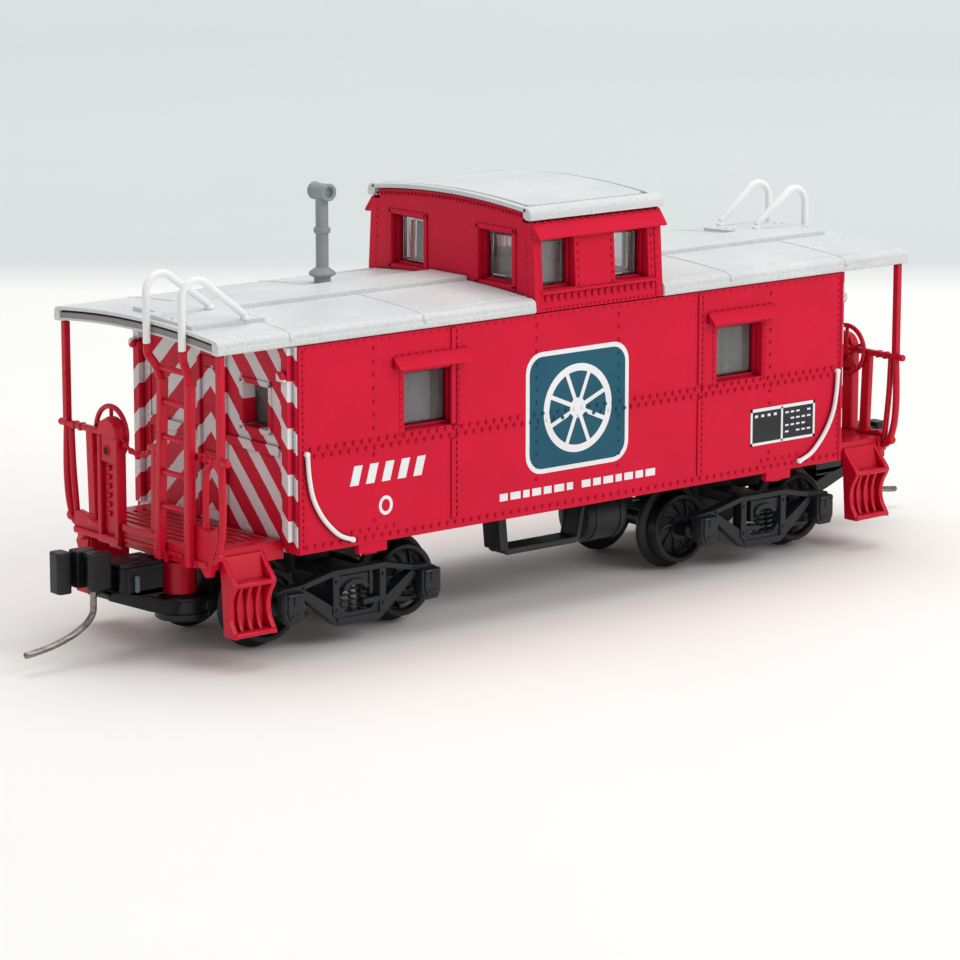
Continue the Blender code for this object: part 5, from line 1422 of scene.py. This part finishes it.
def truck_frame():
    """Side frames, bolster, tongue, round drum, sloping bar and coupler tray in one moulding."""
    shape = Shape()
    c = -TRUCK
    near_frame = sideframe()
    shape.join(near_frame)
    shape.join(near_frame.mirrored("y"))
    for y0, y1 in ((-7.6, -0.95), (0.95, 7.6)):
        block(shape, (c - 1.1, c + 1.1), (y0, y1), (4.5, 5.4), 0.12)
    for y0, y1 in ((-3.2, -0.95), (0.95, 3.2)):
        block(shape, (c - 1.08, c + 1.08), (y0, y1), (4.7, 6.18), 0.12)
    ring = [(0.95, 4.5), (2.2, 4.5), (2.2, 6.1), (2.1, 6.2), (1.0, 6.2), (0.95, 6.15)]
    annulus(shape, ring, c, 32)
    block(shape, (-28.0, c - 1.0), (-1.5, 1.5), (4.5, 5.3), 0.1)
    block(shape, (-28.05, -27.2), (-1.48, 1.48), (3.1, 5.28), 0.1)
    block(shape, (-31.95, -27.3), (-1.46, 1.46), (3.12, 3.86), 0.1)
    drum = [(0, 2.0), (1.8, 2.0), (1.95, 2.12), (1.95, 2.5), (1.85, 2.6), (1.85, 3.4), (1.95, 3.5), (1.95, 3.68),
            (1.85, 3.78), (0, 3.78)]
    lathe(shape, drum, (-29.5, 0, 0), "z", 40)
    bar = [(-36.2, 4.72), (-36.2, 4.35), (-33.2, 3.2), (-31.6, 2.75), (-30.4, 2.65), (-30.4, 3.4), (-31.2, 3.5),
           (-33.2, 4.2), (-34.4, 4.72)]
    prism(shape, bar, "y", -1.4, 1.4, 0.1)
    for side in (-1, 1):
        cheek_bar = [(-36.3, 4.9), (-36.6, 4.85), (-36.65, 4.45), (-33.2, 3.15), (-31.6, 2.7), (-31.0, 2.7),
                     (-31.0, 3.5), (-33.2, 4.3), (-35.6, 4.88)]
        prism(shape, cheek_bar, "y", side * 1.05, side * 1.47, 0.12)
    # tray
    block(shape, (-35.7, -32.05), (-1.4, 1.4), (4.3, 4.85), 0.06)
    for side in (-1, 1):
        block(shape, (-35.7, -32.05), (side * 1.1, side * 1.4), (4.4, 6.52), 0.06)
        block(shape, (-35.2, -34.9), (side * 1.35, side * 1.5), (4.7, 6.3), 0.06)
    block(shape, (-32.35, -32.05), (-1.3, 1.3), (4.4, 6.5), 0.06)
    # small peg beside the tray, in a lighter grey that paints the glint seen there
    tube(shape, [(-34.4, -1.56, 4.85), (-34.4, -1.56, 5.85)], 0.19, 12, 1)
    return shape


both_ends(truck_frame(), "truck_frame_moulding", [black_plastic, peg_painted_glint], "truck_frame_@",
          "truck_@")


def coupler_cover():
    """Plate that closes the tray, with the post the coupler swings on."""
    shape = Shape()
    block(shape, (-35.7, -32.05), (-1.4, 1.4), (6.56, 6.86), 0.07)
    disc(shape, (COUPLER_PIVOT, 0, 6.6), "z", 0.8, 0.6, 0.08, 24)
    disc(shape, (COUPLER_PIVOT, 0, 5.8), "z", 0.42, 1.7, 0.05, 20)
    for x in (-35.3, -32.5):
        block(shape, (x - 0.22, x + 0.22), (-1.0, 1.0), (6.8, 6.9), 0.03)
    return shape


both_ends(coupler_cover(), "coupler_tray_cover", [coupler_black], "coupler_cover_@", "truck_@")


def wheelset():
    """Flanged wheels with ribbed dished faces on their axle, about the origin."""
    shape = Shape()
    profile = [(0, 7.4), (0.3, 7.38), (0.35, 7.2), (0.35, 6.8), (0.6, 6.55), (0.6, 5.3), (0.95, 5.28), (1.0, 5.1),
               (2.0, 4.85), (2.2, 5.0), (2.25, 5.45), (2.35, 5.55), (2.6, 5.55), (2.7, 5.45), (2.72, 4.35),
               (2.9, 4.22), (3.2, 4.15), (3.3, 4.0), (3.28, 3.82), (3.15, 3.75), (0.6, 3.75), (0.6, 0)]
    full = profile + [(r, -h) for r, h in profile[::-1][1:]]
    lathe(shape, full, (0, 0, 0), "y", 48)
    for side in (-1, 1):
        for k in range(9):
            a = 2 * pi * k / 9
            path = []
            for step in range(6):
                r = 0.9 + 1.25 * step / 5
                turn = a + 0.5 * step / 5
                path.append((r * cos(turn), side * (5.2 - 0.25 * step / 5), r * sin(turn)))
            tube(shape, path, 0.1, 6)
    return shape


wheels = wheelset()
for letter, end in (("a", -1), ("b", 1)):
    for number in (1, 2):
        x = end * (TRUCK + (AXLE if number == 1 else -AXLE))
        made = Shape().join(wheels, Matrix.Translation((x, 0, AXLE_HEIGHT)))
        piece(made, f"wheelset_ribbed_{letter}{number}", [wheel_black], [f"wheelset_{letter}{number}"],
              f"wheels_{letter}{number}")


# ---------------------------------------------------------------- couplers


def ring_root(shape, low, high):
    """Pierced round root of a coupler shank."""
    annulus(shape, ((0.5, low), (0.85, low), (0.9, low + 0.05), (0.9, high - 0.05), (0.85, high), (0.5, high)),
            COUPLER_PIVOT, 28)


def knuckle():
    """Upper half of the coupler with the hooked knuckle."""
    shape = Shape()
    ring_root(shape, 5.72, 6.46)
    block(shape, (-36.5, -34.8), (-0.48, 0.48), (5.74, 6.44), 0.06)
    block(shape, (-37.0, -36.3), (0.04, 0.48), (5.74, 6.44), 0.04)
    head = [(-36.6, 0.04), (-36.6, 1.25), (-36.9, 1.36), (-38.1, 1.36), (-38.32, 1.15), (-38.32, 0.04)]
    prism(shape, head, "z", 5.3, 7.95, 0.12)
    arm = [(-38.0, 0.75), (-38.0, 1.5), (-38.9, 1.56), (-38.9, 0.75)]
    prism(shape, arm, "z", 5.5, 7.6, 0.14)
    lobe = [(-38.58, 0.4), (-38.58, 1.5), (-38.75, 1.68), (-39.5, 1.7), (-39.68, 1.5), (-39.72, 0.5),
            (-39.55, 0.25), (-38.75, 0.22)]
    prism(shape, lobe, "z", 4.98, 7.95, 0.2, segments=3)
    return shape


def lip():
    """Lower half of the coupler with the fixed lip."""
    shape = Shape()
    ring_root(shape, 4.92, 5.66)
    block(shape, (-36.5, -34.8), (-0.48, 0.48), (4.94, 5.64), 0.06)
    block(shape, (-37.0, -36.3), (-0.48, -0.04), (4.94, 5.64), 0.04)
    block(shape, (-37.6, -36.5), (-1.2, -0.04), (5.3, 7.6), 0.14)
    block(shape, (-38.2, -36.38), (-1.4, -0.72), (5.25, 8.02), 0.22, segments=3)
    block(shape, (-38.0, -36.9), (-1.2, -0.1), (7.5, 7.98), 0.14)
    return shape


def trip_pin():
    """Curved wire under the coupler."""
    shape = Shape()
    points = [(-37.5, -0.65, 5.3), (-37.5, -0.65, 4.9), (-37.52, -0.65, 4.0)]
    sweep = radians(78)
    for step in range(1, 15):
        a = sweep * step / 14
        along = 37.5 + 5.7 * (1 - cos(a)) / (1 - cos(sweep))
        points.append((-along, -0.65, 4.0 - 2.55 * sin(a) / sin(sweep)))
    tube(shape, points, 0.24, 14)
    return shape


both_ends(knuckle(), "knuckle_half", [coupler_black], "coupler_knuckle_@", "coupler_@")
both_ends(lip(), "lip_half", [coupler_black], "coupler_lip_@", "coupler_jaw_@")
both_ends(trip_pin(), "trip_pin_wire", [pin_steel], "trip_pin_@", "coupler_jaw_@")


# ---------------------------------------------------------------- carried-over nodes

for name, material in (("kingpin_a", black_plastic), ("kingpin_b", black_plastic),
                       ("ballast_weight", weight_steel), ("centring_spring_a", pin_steel),
                       ("centring_spring_b", pin_steel)):
    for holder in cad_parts[name].material_slots:
        holder.material = material


# ---------------------------------------------------------------- stage


BACKDROP_TURN = radians(-39.69)
SWEEP_START = 430.0
SWEEP_RADIUS = 140.0
SWEEP_HALF_WIDTH = 1200.0


def paper():
    """Matt card: near-white floor, a little greyer toward the back where it sweeps up."""
    f = Finish("sweep_paper")
    x, y, _ = f.parts()
    slow = f.noise(9.0, 4.0)
    low = f.ramp(slow, (0.885, 0.868, 0.828, 1), (0.91, 0.893, 0.853, 1))
    near = f.ramp(slow, (0.66, 0.68, 0.67, 1), (0.68, 0.70, 0.69, 1))
    far = f.ramp(slow, (0.86, 0.88, 0.87, 1), (0.88, 0.90, 0.89, 1))
    depth = f.calc("ADD", f.calc("MULTIPLY", x, -sin(BACKDROP_TURN)), f.calc("MULTIPLY", y, cos(BACKDROP_TURN)))
    high = f.mix(f.remap(depth, 160 * MM, 480 * MM, 0.0, 1.0), near, far)
    rise = f.remap(depth, 140 * MM, 162 * MM, 0.0, 1.0)
    f.look(Base_Color=f.mix(rise, low, high), Roughness=0.85, Specular_IOR_Level=0.2)
    return f.made


# floor that sweeps up into the backdrop
profile = [(-900.0, 0.0), (0.0, 0.0), (SWEEP_START, 0.0)]
for k in range(1, 13):
    a = pi / 2 * k / 12
    profile.append((SWEEP_START + SWEEP_RADIUS * sin(a), SWEEP_RADIUS * (1 - cos(a))))
profile.append((SWEEP_START + SWEEP_RADIUS, 900.0))
away = Vector((-sin(BACKDROP_TURN), cos(BACKDROP_TURN), 0))
across = Vector((cos(BACKDROP_TURN), sin(BACKDROP_TURN), 0))
points, faces = [], []
for reach, up in profile:
    for side in (-SWEEP_HALF_WIDTH, SWEEP_HALF_WIDTH):
        points.append(away * reach + across * side + Vector((0, 0, up)))
for i in range(len(profile) - 1):
    faces.append((2 * i, 2 * i + 1, 2 * i + 3, 2 * i + 2))
mesh = bpy.data.meshes.new("studio_sweep")
mesh.from_pydata([tuple(c * MM for c in p) for p in points], [], faces)
mesh.materials.append(paper())
mesh.shade_smooth()
sweep = bpy.data.objects.new("studio_sweep", mesh)
bpy.context.scene.collection.objects.link(sweep)

# ---------------------------------------------------------------- light

world = bpy.data.worlds.new("studio")
bpy.context.scene.world = world
world.use_nodes = True
sky = world.node_tree.nodes["Background"]
sky.inputs["Color"].default_value = (0.93, 0.96, 1.0, 1.0)
sky.inputs["Strength"].default_value = 0.56


def softbox(name, place, size, watts):
    """Area light aimed at the middle of the car."""
    data = bpy.data.lights.new(name, "AREA")
    data.shape = "RECTANGLE"
    data.size = size[0] * MM
    data.size_y = size[1] * MM
    data.energy = watts
    obj = bpy.data.objects.new(name, data)
    obj.location = Vector(place) * MM
    obj.rotation_euler = (Vector((0, 0, 12)) - Vector(place)).to_track_quat("-Z", "Y").to_euler()
    bpy.context.scene.collection.objects.link(obj)


softbox("key", (160, -420, 330), (360, 260), 1.0)
softbox("top", (60, 60, 480), (420, 420), 1.3)

# ---------------------------------------------------------------- camera

AZIMUTH = -39.689
ELEVATION = 11.784
ROLL = 0.0497
FOCAL_PIXELS = 3984.01
EYE = (-189.298, -225.740, 69.463)
camera = bpy.data.cameras.new("camera")
camera.sensor_width = 36.0
camera.lens = FOCAL_PIXELS / 960 * camera.sensor_width
eye = bpy.data.objects.new("camera", camera)
bpy.context.scene.collection.objects.link(eye)
a, e = radians(AZIMUTH), radians(ELEVATION)
back = Vector((sin(a) * cos(e), -cos(a) * cos(e), sin(e)))
turn = (-back).to_track_quat("-Z", "Y").to_matrix() @ Matrix.Rotation(radians(ROLL), 3, "Z")
eye.matrix_world = Matrix.Translation(Vector(EYE) * MM) @ turn.to_4x4()
camera.clip_start = 0.01
camera.clip_end = 10.0
bpy.context.scene.camera = eye
bpy.context.scene.view_settings.view_transform = "Standard"

bpy.context.view_layer.update()
